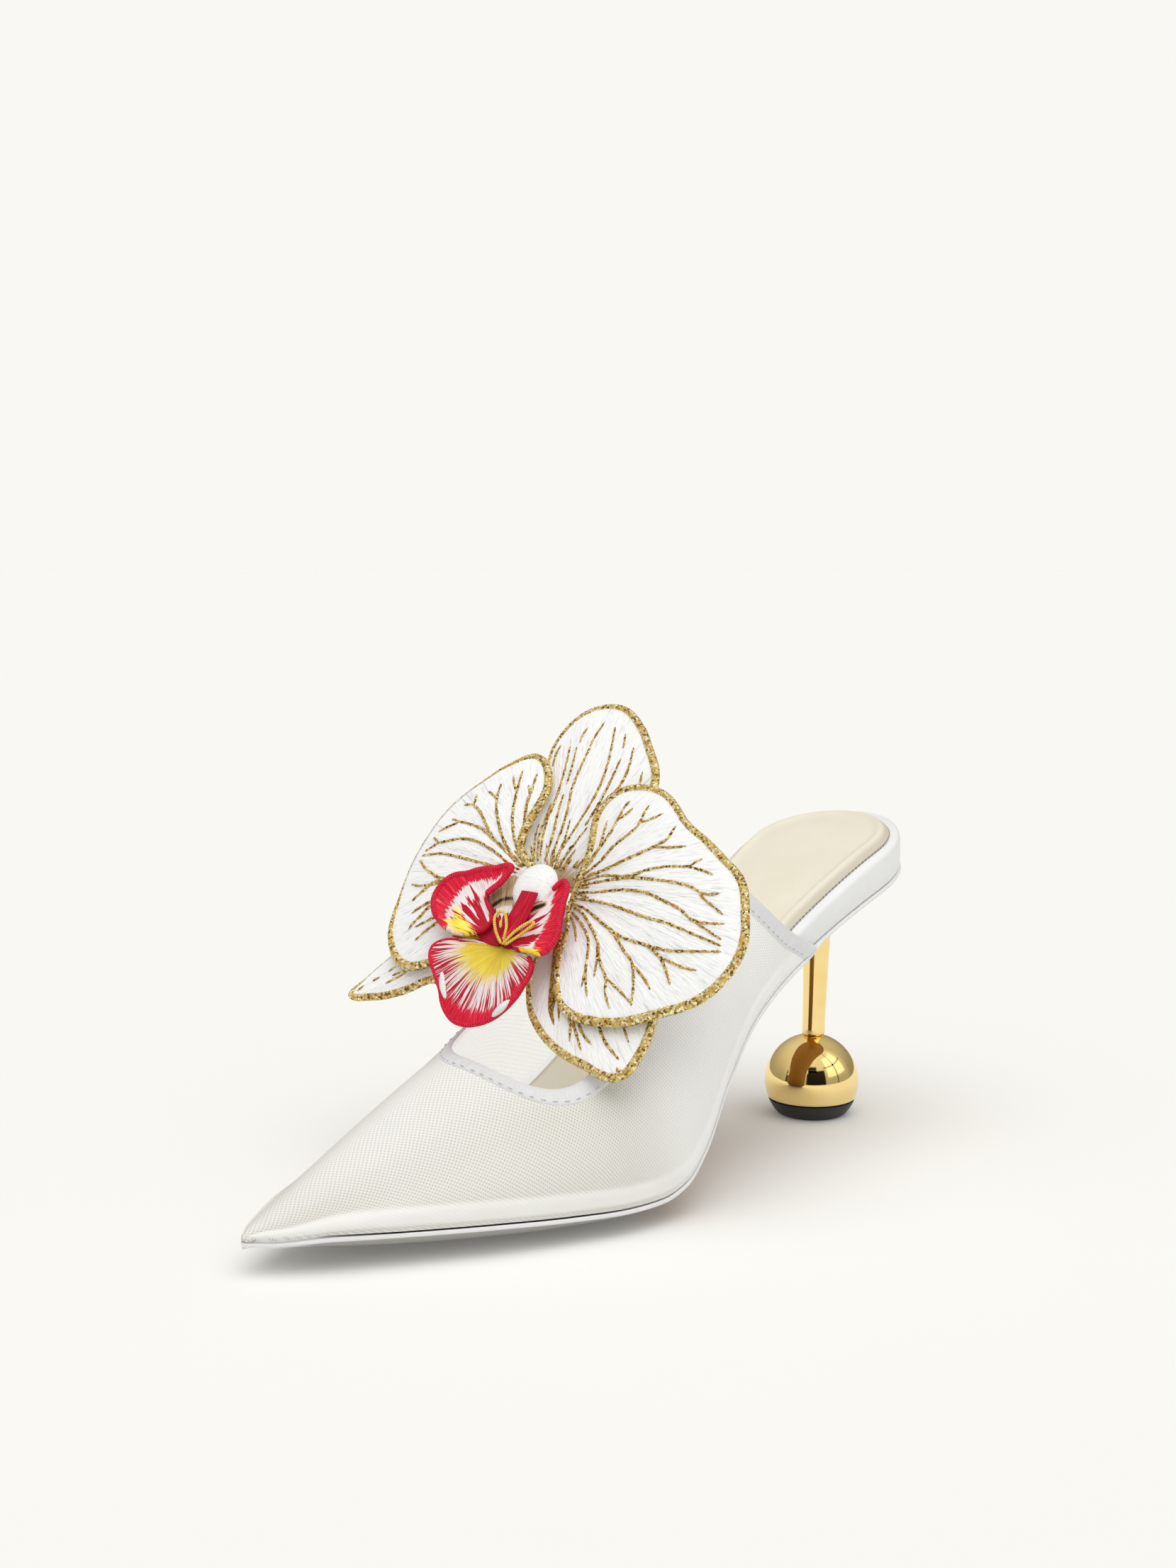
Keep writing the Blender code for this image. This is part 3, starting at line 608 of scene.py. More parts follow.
# a darker copy of the gold cord: painted shade for the outer petal's shaded edge
goldCordShade = goldThread("goldCordShade", 2200.0, (0.13, 0.05, 0.006), (0.42, 0.21, 0.035), (0.70, 0.45, 0.12))
silk = petalSilk()
redSilk = lipSilk()
redThread = threadFinish("redThread", (0.50, 0.004, 0.026), (0.86, 0.020, 0.070), 0.0, 0.2)
yellowThread = threadFinish("yellowThread", (0.72, 0.42, 0.02), (0.95, 0.76, 0.15))
whiteThread = threadFinish("whiteThread", (0.78, 0.78, 0.78), (0.90, 0.90, 0.90))
paleThread = threadFinish("paleThread", (0.40, 0.405, 0.42), (0.66, 0.665, 0.68))
greyThread = threadFinish("greyThread", (0.10, 0.095, 0.085), (0.32, 0.30, 0.27))
print("finishes ready")


# Sole
soleLook = {
    "margin": 1.9, "heelMargin": 0.35, "marginRun": (24.0, 36.0), "toeTrim": 0.5, "toeRound": 6.5,
    "pastTip": 0.6, "dropLow": 0.55, "dropThin": 0.45, "columns": 29, "stations": (0.12, 1.8),
    "underFade": (196.0, 206.0),
    "edge": [(1.7, 0.0), (0.75, 0.18), (0.12, 0.42), (0.0, 0.56), (0.0, 0.8), (0.1, 0.94), (0.32, 1.0)],
}


def soleMargin(x):
    wider = soleLook["margin"] * ease(*soleLook["marginRun"], x)
    return soleLook["heelMargin"] + wider - soleLook["toeTrim"] * toeShare(x)


def stationsTo(start, end, fine, coarse, zone=14.0):  # closer together near both ends
    places = [start]
    while places[-1] < end:
        near = min(places[-1] - start, end - places[-1])
        places.append(places[-1] + fine + (coarse - fine) * ease(0.0, zone, near))
    scale = (end - start) / (places[-1] - start)
    return [start + (x - start) * scale for x in places]


def stackSection(x, outer, inner, rows, lowDish, highDish, columns):
    middle, half = (outer + inner) / 2, (outer - inner) / 2

    def line(row, depth, reverse):
        reach = max(half - row[0], 0.0)
        spots = [1 - 2 * i / (columns - 1) for i in range(columns)]
        spots = spots if reverse else spots[::-1]
        return [(x, middle + reach * c, row[1] - depth * dishShare(c)) for c in spots]

    ring = line(rows[0], lowDish, True)
    ring += [(x, middle - max(half - inset, 0.0), z) for inset, z in rows[1:-1]]
    ring += line(rows[-1], highDish, False)
    ring += [(x, middle + max(half - inset, 0.0), z) for inset, z in rows[-2:0:-1]]
    return ring


def ringBody(name, rings, finish, stands, sharp=50, underside=0):
    count = len(rings[0])
    rows = len(rings) - 1
    bm = bmesh.new()
    under = bm.verts.layers.float.new("under")
    placed = rollGrid(bm, count, rows, lambda s, t: rings[round(t * rows)][round(s * count) % count])
    for v, (s, t) in placed.items():
        i = round(s * count) % count
        # the bottom and the lowest bevel row take the underside colour, partly painted shade along the sole's
        # lower edge
        below = underside and (i <= underside or i == count - 1)
        v[under] = 1 - ease(*soleLook["underFade"], v.co.x / mm) if below else 0.0
    closeUp(bm)
    fillEnds(bm)
    addPiece(name, bm, finish, stands, sharp)


def makeSole():
    rings = []
    tip = crest["toeTip"] + soleLook["pastTip"]
    for x in stationsTo(-sole["heelRadius"] - soleLook["heelMargin"], tip, *soleLook["stations"]):
        grow = soleMargin(x)
        outer, inner = boardEdge(x, 1, grow), boardEdge(x, -1, grow)
        turn = max(x - (tip - soleLook["toeRound"]), 0.0) / soleLook["toeRound"]
        shrink = math.sqrt(max(1 - turn * turn, 0.0))
        middle, half = (outer + inner) / 2, (outer - inner) / 2 * shrink
        low = edgeHeight(x) - soleLook["dropLow"] * toeDrop(x)
        thick = sole["edgeThick"] - soleLook["dropThin"] * toeDrop(x)
        rows = [(inset, low + share * thick) for inset, share in soleLook["edge"]]
        outer, inner = middle + half, middle - half
        rings.append(stackSection(x, outer, inner, rows, belly(x), dish(x), soleLook["columns"]))
    ringBody("sole", rings, soleWhite, ["outsole"], 50, soleLook["columns"])


makeSole()

# Footbed: a board wrapped in white leather with a soft shoulder
footbedLook = {
    "shoulder": 2.3, "shoulderShare": 0.55, "coveredSharp": 0.7, "shoulderSteps": 5,
    "foot": 0.8, "footTurn": 0.3, "bulge": 0.15, "bulgeAt": 0.45, "coverRun": (36.0, 58.0),
    "coveredGrow": 0.7, "toeTrim": 0.5, "topDish": 0.5, "end": 197.0, "columns": 13, "stations": (0.12, 3.0),
}


def makeFootbed():
    rings = []
    foot, turn, steps = footbedLook["foot"], footbedLook["footTurn"], footbedLook["shoulderSteps"]
    for x in stationsTo(-sole["heelRadius"], footbedLook["end"], *footbedLook["stations"]):
        low, high = boardBottom(x), boardTop(x)
        covered = ease(*footbedLook["coverRun"], x)
        soft = min(footbedLook["shoulder"], footbedLook["shoulderShare"] * (high - low))
        soft *= 1.0 - footbedLook["coveredSharp"] * covered
        grow = footbedLook["coveredGrow"] * covered - footbedLook["toeTrim"] * toeShare(x)
        outer, inner = boardEdge(x, 1) + grow, boardEdge(x, -1) - grow
        rows = [(foot, low), (foot * turn, low + foot * turn), (0.0, low + foot)]
        rows.append((-footbedLook["bulge"], low + footbedLook["bulgeAt"] * (high - low)))
        for i in range(steps + 1):
            a = math.pi / 2 * i / steps
            rows.append((soft * (1 - math.cos(a)), high - soft + soft * math.sin(a)))
        topDish = footbedLook["topDish"] * dish(x)
        rings.append(stackSection(x, outer, inner, rows, dish(x), topDish, footbedLook["columns"]))
    ringBody("footbedWrap", rings, white, ["footbed"])


makeFootbed()

# Sock: padded, with a rolled edge and a stitched line round it
sockLook = {
    "inset": 2.7, "coveredInset": -2.9, "coverRun": (34.0, 60.0), "backStretch": 1.094,
    "start": -21.28, "end": 188.0, "bed": 0.3, "edge": 0.25, "thick": 1.75, "coveredThin": 0.6,
    "rollWidth": 3.2, "rollPower": 2.6, "ridge": 0.7, "ridgeAt": 2.9, "ridgeWidth": 1.15,
    "crown": 0.4, "crownRun": (5.0, 14.0), "edgeShadeRun": (0.8, 2.5), "columns": 56, "stations": (0.08, 2.0),
}
sockSeam = {"start": 0.1, "end": 40.0, "out": 0.1, "lift": 0.42, "lean": (0.75, 0.66), "stations": (0.1, 1.0),
            "step": 0.32, "on": 3, "off": 2, "radius": 0.17}


def sockEdge(x, side):
    inset = sockLook["inset"]
    if x < 0:
        radius = sole["heelRadius"] - inset
        return side * math.sqrt(max(radius * radius - (x * sockLook["backStretch"]) ** 2, 0.0))
    return boardEdge(x, side) - side * (inset + sockLook["coveredInset"] * ease(*sockLook["coverRun"], x))


def fromSockEdge(x, c):  # c is the place across, from -1 to 1
    half = (sockEdge(x, 1) - sockEdge(x, -1)) / 2
    if x >= 0:
        return (1 - abs(c)) * half
    radius = sole["heelRadius"] - sockLook["inset"]
    return radius - math.hypot(x * sockLook["backStretch"], c * half)


def sockTop(x, c):
    inward = fromSockEdge(x, c)
    covered = ease(*sockLook["coverRun"], x)
    roll = 1 - (1 - min(inward / sockLook["rollWidth"], 1.0)) ** sockLook["rollPower"]
    pad = sockLook["thick"] * (1 - sockLook["coveredThin"] * covered) * roll
    ridge = sockLook["ridge"] * bell(inward, sockLook["ridgeAt"], sockLook["ridgeWidth"]) * (1 - covered)
    return sockLook["edge"] + pad + ridge + sockLook["crown"] * ease(*sockLook["crownRun"], inward)


def makeSock():
    columns = sockLook["columns"]
    places = stationsTo(sockLook["start"], sockLook["end"], *sockLook["stations"])
    rows = len(places) - 1

    def where(s, t):
        lap = (round(s * 2 * columns) % (2 * columns)) / columns
        return places[round(t * rows)], math.cos(math.pi * lap), 0.0 < lap < 1.0

    def place(s, t):
        x, c, onTop = where(s, t)
        outer, inner = sockEdge(x, 1), sockEdge(x, -1)
        y = (outer + inner) / 2 + (outer - inner) / 2 * c
        low = boardTop(x) - footbedLook["topDish"] * dish(x) * dishShare(c) + sockLook["bed"]
        return x, y, low + sockTop(x, c) if onTop else low

    bm = bmesh.new()
    paintedEdgeShade = bm.verts.layers.float.new("paintedEdgeShade")
    placed = rollGrid(bm, 2 * columns, rows, place)
    for v, (s, t) in placed.items():
        x, c, onTop = where(s, t)
        # painted shade: darkest at the stitched edge and fading within 2.5 mm of it; the underside fully
        # shaded
        v[paintedEdgeShade] = 1 - ease(*sockLook["edgeShadeRun"], fromSockEdge(x, c)) if onTop else 1.0
    closeUp(bm)
    fillEnds(bm)
    sock = addPiece("sock", bm, beige, ["insole"], 70)


def makeSockStitches():
    bm = bmesh.new()
    places = stationsTo(sockLook["start"] + sockSeam["start"], sockSeam["end"], *sockSeam["stations"])
    for side in (1, -1):
        line = []
        for x in places:
            y = sockEdge(x, side) + side * sockSeam["out"]
            line.append(Vector((x, y, boardTop(x) + sockSeam["lift"])))
        path = evenSteps(line, sockSeam["step"])
        tilt = Vector((0.0, side * sockSeam["lean"][0], sockSeam["lean"][1]))
        addStitches(bm, path, [tilt] * len(path), sockSeam["on"], sockSeam["off"], sockSeam["radius"])
    closeUp(bm)
    addPiece("sockStitches", bm, greyThread)


makeSock()
makeSockStitches()

# Net upper
netLook = {
    "wall": 1.0, "under": 1.6, "columns": 420, "rings": 64, "bunch": 1.5, "tipBunch": 0.25, "fanLength": 52.0,
    "bandLow": (0.9, 2.0), "bandHigh": (4.3, 6.2), "bandSwell": 0.45, "bandFrom": 0.5,
    "bandStart": (38.0, 54.0), "bandEnd": (196.0, 206.0), "toeThinner": 0.5, "thinRun": (188.0, 206.0),
    "uvFrom": 150.0, "steepTo": 95.0, "steep": 0.35,
    # how much darker and warmer the net is by place: the sock seen through it, and painted light and shade
    "crestTintShade": 0.385, "rearTintShade": 0.1, "rearRun": (98.0, 126.0), "sideTintShade": 0.47, "sideRun": (0.05, 0.48),
    "toeTintShade": 0.12, "toeRun": (176.0, 196.0),
    "cheekTintShade": 0.12, "cheekX": (135.0, 14.0), "cheekF": (0.5, 0.13),
}
boundaryRun = [(0.0, 0.030), (0.030, 0.350), (0.350, 0.650), (0.650, 0.970), (0.970, 1.0)]


def netBoundary(s):  # toe, outer sole edge, topline, inner sole edge, toe
    inset = topline["width"] - netLook["under"]
    rear, tip = toplineX(1.0, inset), crest["toeTip"]
    leg = next(i for i, run in enumerate(boundaryRun) if s <= run[1])
    start, end = boundaryRun[leg]
    t = (s - start) / (end - start)
    if leg == 0:
        return tip, t
    bunch = netLook["tipBunch"]
    slow = t * (t + bunch) / (1.0 + bunch)  # closer together at the tip
    if leg == 1:
        return tip + (rear - tip) * slow, 1.0
    if leg == 2:
        return toplineX(1.0 - 2.0 * t, inset), 1.0 - 2.0 * t
    if leg == 3:
        slow = (1.0 - t) * (1.0 + bunch - t) / (1.0 + bunch)
        return tip + (rear - tip) * slow, -1.0
    return tip, -1.0 + t


def netSpot(s, share):  # from the throat's edge at share 0 to the outer boundary at share 1
    x, f = netBoundary(s)
    middleX, middleF = (throat["front"] + throat["rear"]) / 2, (throat["outer"] + throat["inner"]) / 2
    turn = math.atan2(f - middleF, (x - middleX) / netLook["fanLength"])
    nearX, nearF = throatEdge(turn, topline["width"] - netLook["under"])
    return nearX + (x - nearX) * share, nearF + (f - nearF) * share


def wallLength(x, start, end, steps):  # along the cloth between two places round the shoe
    spots = [upperPoint(x, start + (end - start) * i / steps) for i in range(steps + 1)]
    return sum((b - a).length for a, b in zip(spots, spots[1:]))


girths = {"x": tuple(range(24, 215, 6))}
girths["outer"] = tuple(wallLength(x, 0.0, 1.0, 12) for x in girths["x"])
girths["inner"] = tuple(wallLength(x, 0.0, -1.0, 12) for x in girths["x"])


def netUv(x, f):  # millimetres along and round the cloth
    girth = along(girths, "outer" if f >= 0 else "inner", x)
    steep = 1.0 + netLook["steep"] * ease(netLook["uvFrom"], netLook["steepTo"], x)
    return (x - netLook["uvFrom"]) * steep, f * girth


def bandShare(x, f):  # the white band along the lower edge
    if abs(f) < netLook["bandFrom"]:
        return 0.0
    thinner = 1.0 - netLook["toeThinner"] * ease(*netLook["thinRun"], x)
    distance = wallLength(x, f, math.copysign(1.0, f), 10) / thinner
    return ease(*netLook["bandLow"], distance) * (1.0 - ease(*netLook["bandHigh"], distance))


def netTintAndShade(x, f, band):  # partly the sock and board behind showing through the cloth, partly painted light and shade: the front of the vamp painted darker where the light falls strongest, the rear painted lighter where the flower's shadow falls
    share = abs(f)
    front = netLook["crestTintShade"] + netLook["sideTintShade"] * ease(*netLook["sideRun"], share)
    front += netLook["toeTintShade"] * ease(*netLook["toeRun"], x)
    front += netLook["cheekTintShade"] * bell(x, *netLook["cheekX"]) * bell(share, *netLook["cheekF"])
    tintAndShade = netLook["rearTintShade"] + (front - netLook["rearTintShade"]) * ease(*netLook["rearRun"], x)
    return tintAndShade + (min(tintAndShade, netLook["crestTintShade"]) - tintAndShade) * band


def makeNet():
    bm = bmesh.new()
    tintAndShade = bm.verts.layers.float.new("tintAndShade")
    band = bm.verts.layers.float.new("band")
    spots = {}
    columns, rings = netLook["columns"], netLook["rings"]

    def where(s, t):
        key = (round(s * columns) % columns, round(t * rings))
        if key not in spots:
            x, f = netSpot(key[0] / columns, 1 - (1 - key[1] / rings) ** netLook["bunch"])
            spots[key] = x, f, bandShare(x, f)
        return spots[key]

    def place(s, t):
        x, f, share = where(s, t)
        ends = ease(*netLook["bandStart"], x) * (1 - ease(*netLook["bandEnd"], x))
        return upperPoint(x, f) + upperNormal(x, f) * (netLook["bandSwell"] * share * ends)

    placed = rollGrid(bm, columns, rings, place, lambda s, t: netUv(*where(s, t)[:2]))
    for v, (s, t) in placed.items():
        x, f, v[band] = where(s, t)
        # the net's tone by place: partly the sock seen through, partly painted light and shade
        v[tintAndShade] = netTintAndShade(x, f, v[band])
    joinSeams(bm)
    upper = addPiece("netUpper", bm, net, ["upper"], 80)
    # the inner faces take the lighter, glowing copy: painted light
    upper.data.materials.append(netInsideLit)
    giveWall(upper, netLook["wall"], 1)


makeNet()

# Tapes round the throat and along the topline
tapeLook = {
    "halfThick": 0.86, "square": 3.4, "sides": 20, "crown": 0.12, "throatRows": 220, "toplineRows": 160,
    "insideFrom": 0.45, "round": 13.0, "throatLong": 105.0, "toplineLong": 150.0,
}
tapeSeam = {"from": 3.7, "lift": 0.02, "step": 0.55, "on": 3, "off": 2, "radius": 0.18, "end": 0.97,
            "throatSpots": 200, "toplineSpots": 120}


def tapeSection(s):  # place across the tape and lift off the wall's middle
    a = 2 * math.pi * (round(s * tapeLook["sides"]) % tapeLook["sides"]) / tapeLook["sides"]
    half = topline["width"] / 2
    power = 2 / tapeLook["square"]
    across = half * math.copysign(abs(math.cos(a)) ** power, math.cos(a))
    lift = tapeLook["halfThick"] * math.copysign(abs(math.sin(a)) ** power, math.sin(a))
    return half + across, lift + math.copysign(tapeLook["crown"], lift) * (1 - (across / half) ** 2)


def makeThroatTape():
    bm = bmesh.new()
    rows = tapeLook["throatRows"]

    def place(s, t):
        grow, lift = tapeSection(s)
        x, f = throatEdge(2 * math.pi * (round(t * rows) % rows) / rows, grow)
        return upperPoint(x, f) + upperNormal(x, f) * lift

    def uvOf(s, t):
        return s * tapeLook["round"], t * tapeLook["throatLong"]

    placed = rollGrid(bm, tapeLook["sides"], rows, place, uvOf)
    for face in bm.faces:
        # the inner faces take the lighter, glowing copy: painted light
        face.material_index = int(all(placed[v][0] > tapeLook["insideFrom"] for v in face.verts))
    closeUp(bm)
    binding = addPiece("throatTape", bm, tape, ["throat_binding"], 80)
    binding.data.materials.append(tapeInsideLit)


def makeToplineTape():
    bm = bmesh.new()
    rows = tapeLook["toplineRows"]

    def place(s, t):
        f = 1.0 - 2.0 * round(t * rows) / rows
        inset, lift = tapeSection(s)
        x = toplineX(f, inset)
        return upperPoint(x, f) + upperNormal(x, f) * lift

    def uvOf(s, t):
        return s * tapeLook["round"], t * tapeLook["toplineLong"]

    rollGrid(bm, tapeLook["sides"], rows, place, uvOf)
    closeUp(bm)
    fillEnds(bm)
    addPiece("toplineTape", bm, tape, ["topline_binding"], 80)


def makeTapeStitches():
    bm = bmesh.new()
    lift = tapeLook["halfThick"] + tapeSeam["lift"]

    def onWall(x, f):
        normal = upperNormal(x, f)
        return upperPoint(x, f) + normal * lift, normal

    def sew(spots):
        marks = evenSteps([Vector((x, f * topline["girth"])) for x, f in spots], tapeSeam["step"])
        pairs = [onWall(m.x, m.y / topline["girth"]) for m in marks]
        path, normals = [p for p, n in pairs], [n for p, n in pairs]
        addStitches(bm, path, normals, tapeSeam["on"], tapeSeam["off"], tapeSeam["radius"])

    count = tapeSeam["throatSpots"]
    sew([throatEdge(2 * math.pi * i / count, tapeSeam["from"]) for i in range(count + 1)])
    count, end = tapeSeam["toplineSpots"], tapeSeam["end"]
    places = [end - 2 * end * i / count for i in range(count + 1)]
    sew([(toplineX(f, tapeSeam["from"]), f) for f in places])
    closeUp(bm)
    addPiece("tapeStitches", bm, paleThread)


makeThroatTape()
makeToplineTape()
makeTapeStitches()

# Heel: pin, ball and rubber foot
heelLook = {
    "ball": 14.5, "centreZ": 10.4, "tipZ": 4.9, "tipSteps": 6, "tipBevel": (0.5, 0.12), "groove": 0.3,
    "ballRim": (0.05, 0.1), "seat": 3.0, "ballSteps": 44,
    "pinFoot": 3.5, "pinTop": 4.9, "pinRound": [(0.55, 0.0), (0.2, 0.004), (0.0, 0.014)],
    "pinSteps": 30, "pinFlare": 1.6, "footGap": 0.05, "topGap": 0.3, "footX": -0.6, "topX": -2.4, "steps": 96,
}


def spinPiece(name, profile, finish, stands, move=None, sharp=35):
    bm = bmesh.new()
    spinProfile(bm, profile, heelLook["steps"])
    for v in bm.verts:
        v.co = (Vector(move(v.co)) if move else v.co) * mm
    closeUp(bm)
    addPiece(name, bm, finish, stands, sharp)


def ballRadius(z):
    return math.sqrt(max(heelLook["ball"] ** 2 - (z - heelLook["centreZ"]) ** 2, 0.0))


def makeHeelFoot():
    tipZ, steps = heelLook["tipZ"], heelLook["tipSteps"]
    wide, high = heelLook["tipBevel"]
    low = ballRadius(0.0)
    foot = [(0.0, 0.0), (low - wide, 0.0), (low - 0.3 * wide, high), (ballRadius(wide), wide)]
    foot += [(ballRadius(tipZ * i / steps), tipZ * i / steps) for i in range(1, steps)]
    foot += [(ballRadius(tipZ) - 0.2 * wide, tipZ - high), (ballRadius(tipZ) - wide, tipZ), (0.0, tipZ)]
    spinPiece("heelFoot", foot, rubber, ["heel_tip"])


def makeHeelBall():
    low, count = heelLook["tipZ"] + heelLook["groove"], heelLook["ballSteps"]
    rimIn, rimUp = heelLook["ballRim"]
    start = math.asin((low - heelLook["centreZ"]) / heelLook["ball"])
    end = math.acos(heelLook["seat"] / heelLook["ball"])
    ball = [(0.0, low), (ballRadius(low) - heelLook["groove"], low), (ballRadius(low) - rimIn, low + rimUp)]
    for i in range(1, count + 1):
        a = start + (end - start) * i / count
        ball.append((heelLook["ball"] * math.cos(a), heelLook["centreZ"] + heelLook["ball"] * math.sin(a)))
    seatZ = ball[-1][1]
    spinPiece("heelBall", ball + [(0.0, seatZ)], gold, ["heel_ball"], sharp=50)
    return seatZ


def makeHeelPin(seatZ):
    footX, topX = heelLook["footX"], heelLook["topX"]
    footZ = seatZ + heelLook["footGap"]

    def topZ(x):
        return edgeHeight(x) - belly(x) - heelLook["topGap"]

    def lean(p):
        share = min(max(p.z, 0.0), 1.0)
        x = p.x + footX + (topX - footX) * share
        level = footZ + (topZ(topX) - footZ) * share
        return x, p.y, level + (topZ(x) - topZ(topX)) * share ** 4

    slim, wide = heelLook["pinFoot"], heelLook["pinTop"]
    pin = [(0.0, 0.0)] + [(slim - inset, share) for inset, share in heelLook["pinRound"]]
    low = pin[-1][1]
    for i in range(1, heelLook["pinSteps"] + 1):
        t = i / heelLook["pinSteps"]
        pin.append((slim + (wide - slim) * t ** heelLook["pinFlare"], low + (1.0 - low) * t))
    pin.append((0.0, 1.0))
    spinPiece("heelPin", pin, gold, ["heel_stem"], lean, 50)


makeHeelFoot()
makeHeelPin(makeHeelBall())

# Orchid: petals lie in the flower's own frame, across and up its face
flowerLook = {
    "centre": (99.4, -8.3, 75.8), "tilt": 37.0, "turn": 12.0, "claw": 6.5, "thick": 1.3,
    "rings": 26, "perRay": 9, "inset": 0.7, "riseReach": 45.0,
    "furrows": [(16.0, 0.0, 0.16), (37.0, 1.0, 0.07)], "furrowRun": (4.0, 16.0),
    "giltAt": (-4.5, 3.0), "giltReach": 10.5, "fanScale": 30.0,
}
edgingLook = {"perRay": 12, "lift": 0.25, "step": 0.34, "sides": 12, "ridge": 0.07, "pitch": 0.95}
veinLook = {"long": 0.45, "short": 0.38, "lift": 0.74, "step": 0.5, "sides": 7, "startShare": 0.74,
            "fullAt": 1.1, "wobble": 0.14, "wobbleBeat": 0.9, "fanShare": 0.72, "fanBeat": 2.4}
tilt, turn = math.radians(flowerLook["tilt"]), math.radians(flowerLook["turn"])
faceDir = Vector((math.cos(tilt) * math.cos(turn), math.cos(tilt) * math.sin(turn), math.sin(tilt)))
acrossDir = Vector((-math.sin(turn), math.cos(turn), 0.0))
upDir = faceDir.cross(acrossDir)


def flowerPoint(across, up, height):
    return Vector(flowerLook["centre"]) + acrossDir * across + upDir * up + faceDir * height


def acrossAndUp(point):  # place of a point on the flower's face
    offset = point - Vector(flowerLook["centre"])
    return offset.dot(acrossDir), offset.dot(upDir)


def bearingFrom(spot, across, up):
    return math.degrees(math.atan2(up - spot[1], across - spot[0]))


def giltShare(across, up):  # golden thread gathers round the claw
    atAcross, atUp = flowerLook["giltAt"]
    return bell(math.hypot(across - atAcross, up - atUp), 0.0, flowerLook["giltReach"])


# rays: bearing and reach from the petal's middle; cord: bearing and radius of the gold edging;
# veins: across, up of each stitched line; fan: first and last bearing, count, start and end of short lines
sepalTop = {
    "name": "sepalTop", "node": "sepal_top", "middle": (-6, 40),
    "level": 1.2, "dome": 1.4, "rise": 0.0, "drop": 1.0, "base": (-7, 4), "fan": (66, 112, 12, 6.0, 15.0),
    "veinScale": 0.85,
    "rays": [(0, 21.5), (35, 19.5), (62, 21.4), (90, 25.4), (115, 25.2), (145, 21.0), (180, 16.2),
             (200, 17.0), (218, 19.6), (234, 26.0), (246, 31.8), (258, 35.5), (273, 36.0), (284, 36.0),
             (305, 26.0), (330, 22.5)],
    "cord": [(0, 1.25), (60, 1.15), (100, 0.95), (140, 0.75), (190, 0.7), (240, 0.6), (300, 0.7),
             (340, 1.15)],
    "veins": [
        [(-13, 13.5), (-15, 22.5), (-15, 31.5), (-15.5, 40), (-17, 50.5)],
        [(-9.5, 13), (-9, 21.5), (-9.5, 29.5), (-10.5, 35), (-10.5, 41), (-10, 47), (-9.8, 53), (-8.5, 59)],
        [(-7, 16), (-5, 23.5), (-3, 30.5), (-2, 37), (-2, 43), (-3, 50), (-4.5, 57.5)],
        [(-2, 24), (0, 32), (1, 39), (1.5, 47)],
        [(2, 32), (4.5, 38), (5, 44), (4, 51)],
        [(0.8, 50), (0.5, 52), (-0.5, 55.5)], [(10, 37), (10, 40), (9.5, 43.5)],
        [(-20.5, 43), (-21, 47), (-20.5, 51)], [(-13, 37), (-13.5, 44), (-14.5, 50)],
        [(-14, 51), (-14, 54), (-13.3, 57)],
        [(-13.5, 12), (-15.8, 20), (-16, 26), (-16, 31)], [(-15, 13), (-17, 19), (-17.5, 24)],
        [(-8, 12), (-7, 19), (-7.5, 26)], [(-11, 12), (-11.5, 20), (-12.5, 28), (-12.8, 34)],
        [(-5, 14), (-3, 19), (-1, 24)],
    ],
}
sepalInner = {
    "name": "sepalInner", "node": "sepal_inner", "middle": (-33, -20),
    "level": 1.2, "dome": 1.0, "rise": 0.0, "drop": 1.0, "base": (-14, -6),
    "rays": [(31, 34.5), (55, 21.0), (90, 12.5), (130, 9.8), (165, 12.4), (182, 16.2), (194, 20.0),
             (204, 25.2), (211, 30.4), (219, 24.6), (232, 16.6), (250, 10.0), (280, 8.6), (320, 13.0),
             (10, 23.0)],
    "cord": [(0, 0.9), (60, 0.5), (120, 0.32), (190, 0.32), (204, 0.5), (213, 1.0), (250, 1.1),
             (320, 1.1)],
    "veinScale": 0.8,
    "veins": [
        [(-48.3, -27.2), (-47.6, -26.4), (-46.4, -25.2)], [(-52.5, -30.6), (-51.4, -29.7), (-50.3, -28.8)],
        [(-46.4, -28.3), (-44.8, -27.2), (-43.1, -26.6), (-39.3, -24.5)],
        [(-47.8, -30.6), (-46.2, -29.6), (-42.0, -26.8)],
        [(-56.4, -33.9), (-55.6, -33.0), (-54.6, -31.8)],
    ],
}
sepalOuter = {
    "name": "sepalOuter", "node": "sepal_outer", "middle": (18, -26),
    "level": 1.2, "dome": 1.4, "rise": 1.4, "drop": 0.2, "base": (2, -6),
    "rays": [(0, 21.5), (40, 19.5), (85, 20.5), (112, 26.0), (126, 27.5), (142, 25.0), (165, 22.0),
             (195, 18.8), (230, 17.2), (263, 18.5), (288, 22.3), (309, 29.5), (325, 27.2), (343, 24.0)],
    "cord": [(0, 1.15), (60, 0.8), (120, 0.7), (180, 0.9), (210, 1.1), (260, 1.15), (310, 1.2),
             (345, 1.2)],
    "veins": [
        [(12, -28), (15, -33), (17, -37), (18, -40.5)], [(13, -29), (17, -35), (20, -39), (22.5, -42.5)],
        [(14, -28), (18, -34), (21.5, -38), (25, -40.5)],
        [(20, -28), (25, -35), (29, -39.5), (34.5, -43.5)],
        [(27, -28), (32, -34), (35.5, -38.5)], [(8, -22), (10, -29), (12.5, -35)],
        [(34.5, -45.5), (35.5, -46.8), (37, -46)],
    ],
}
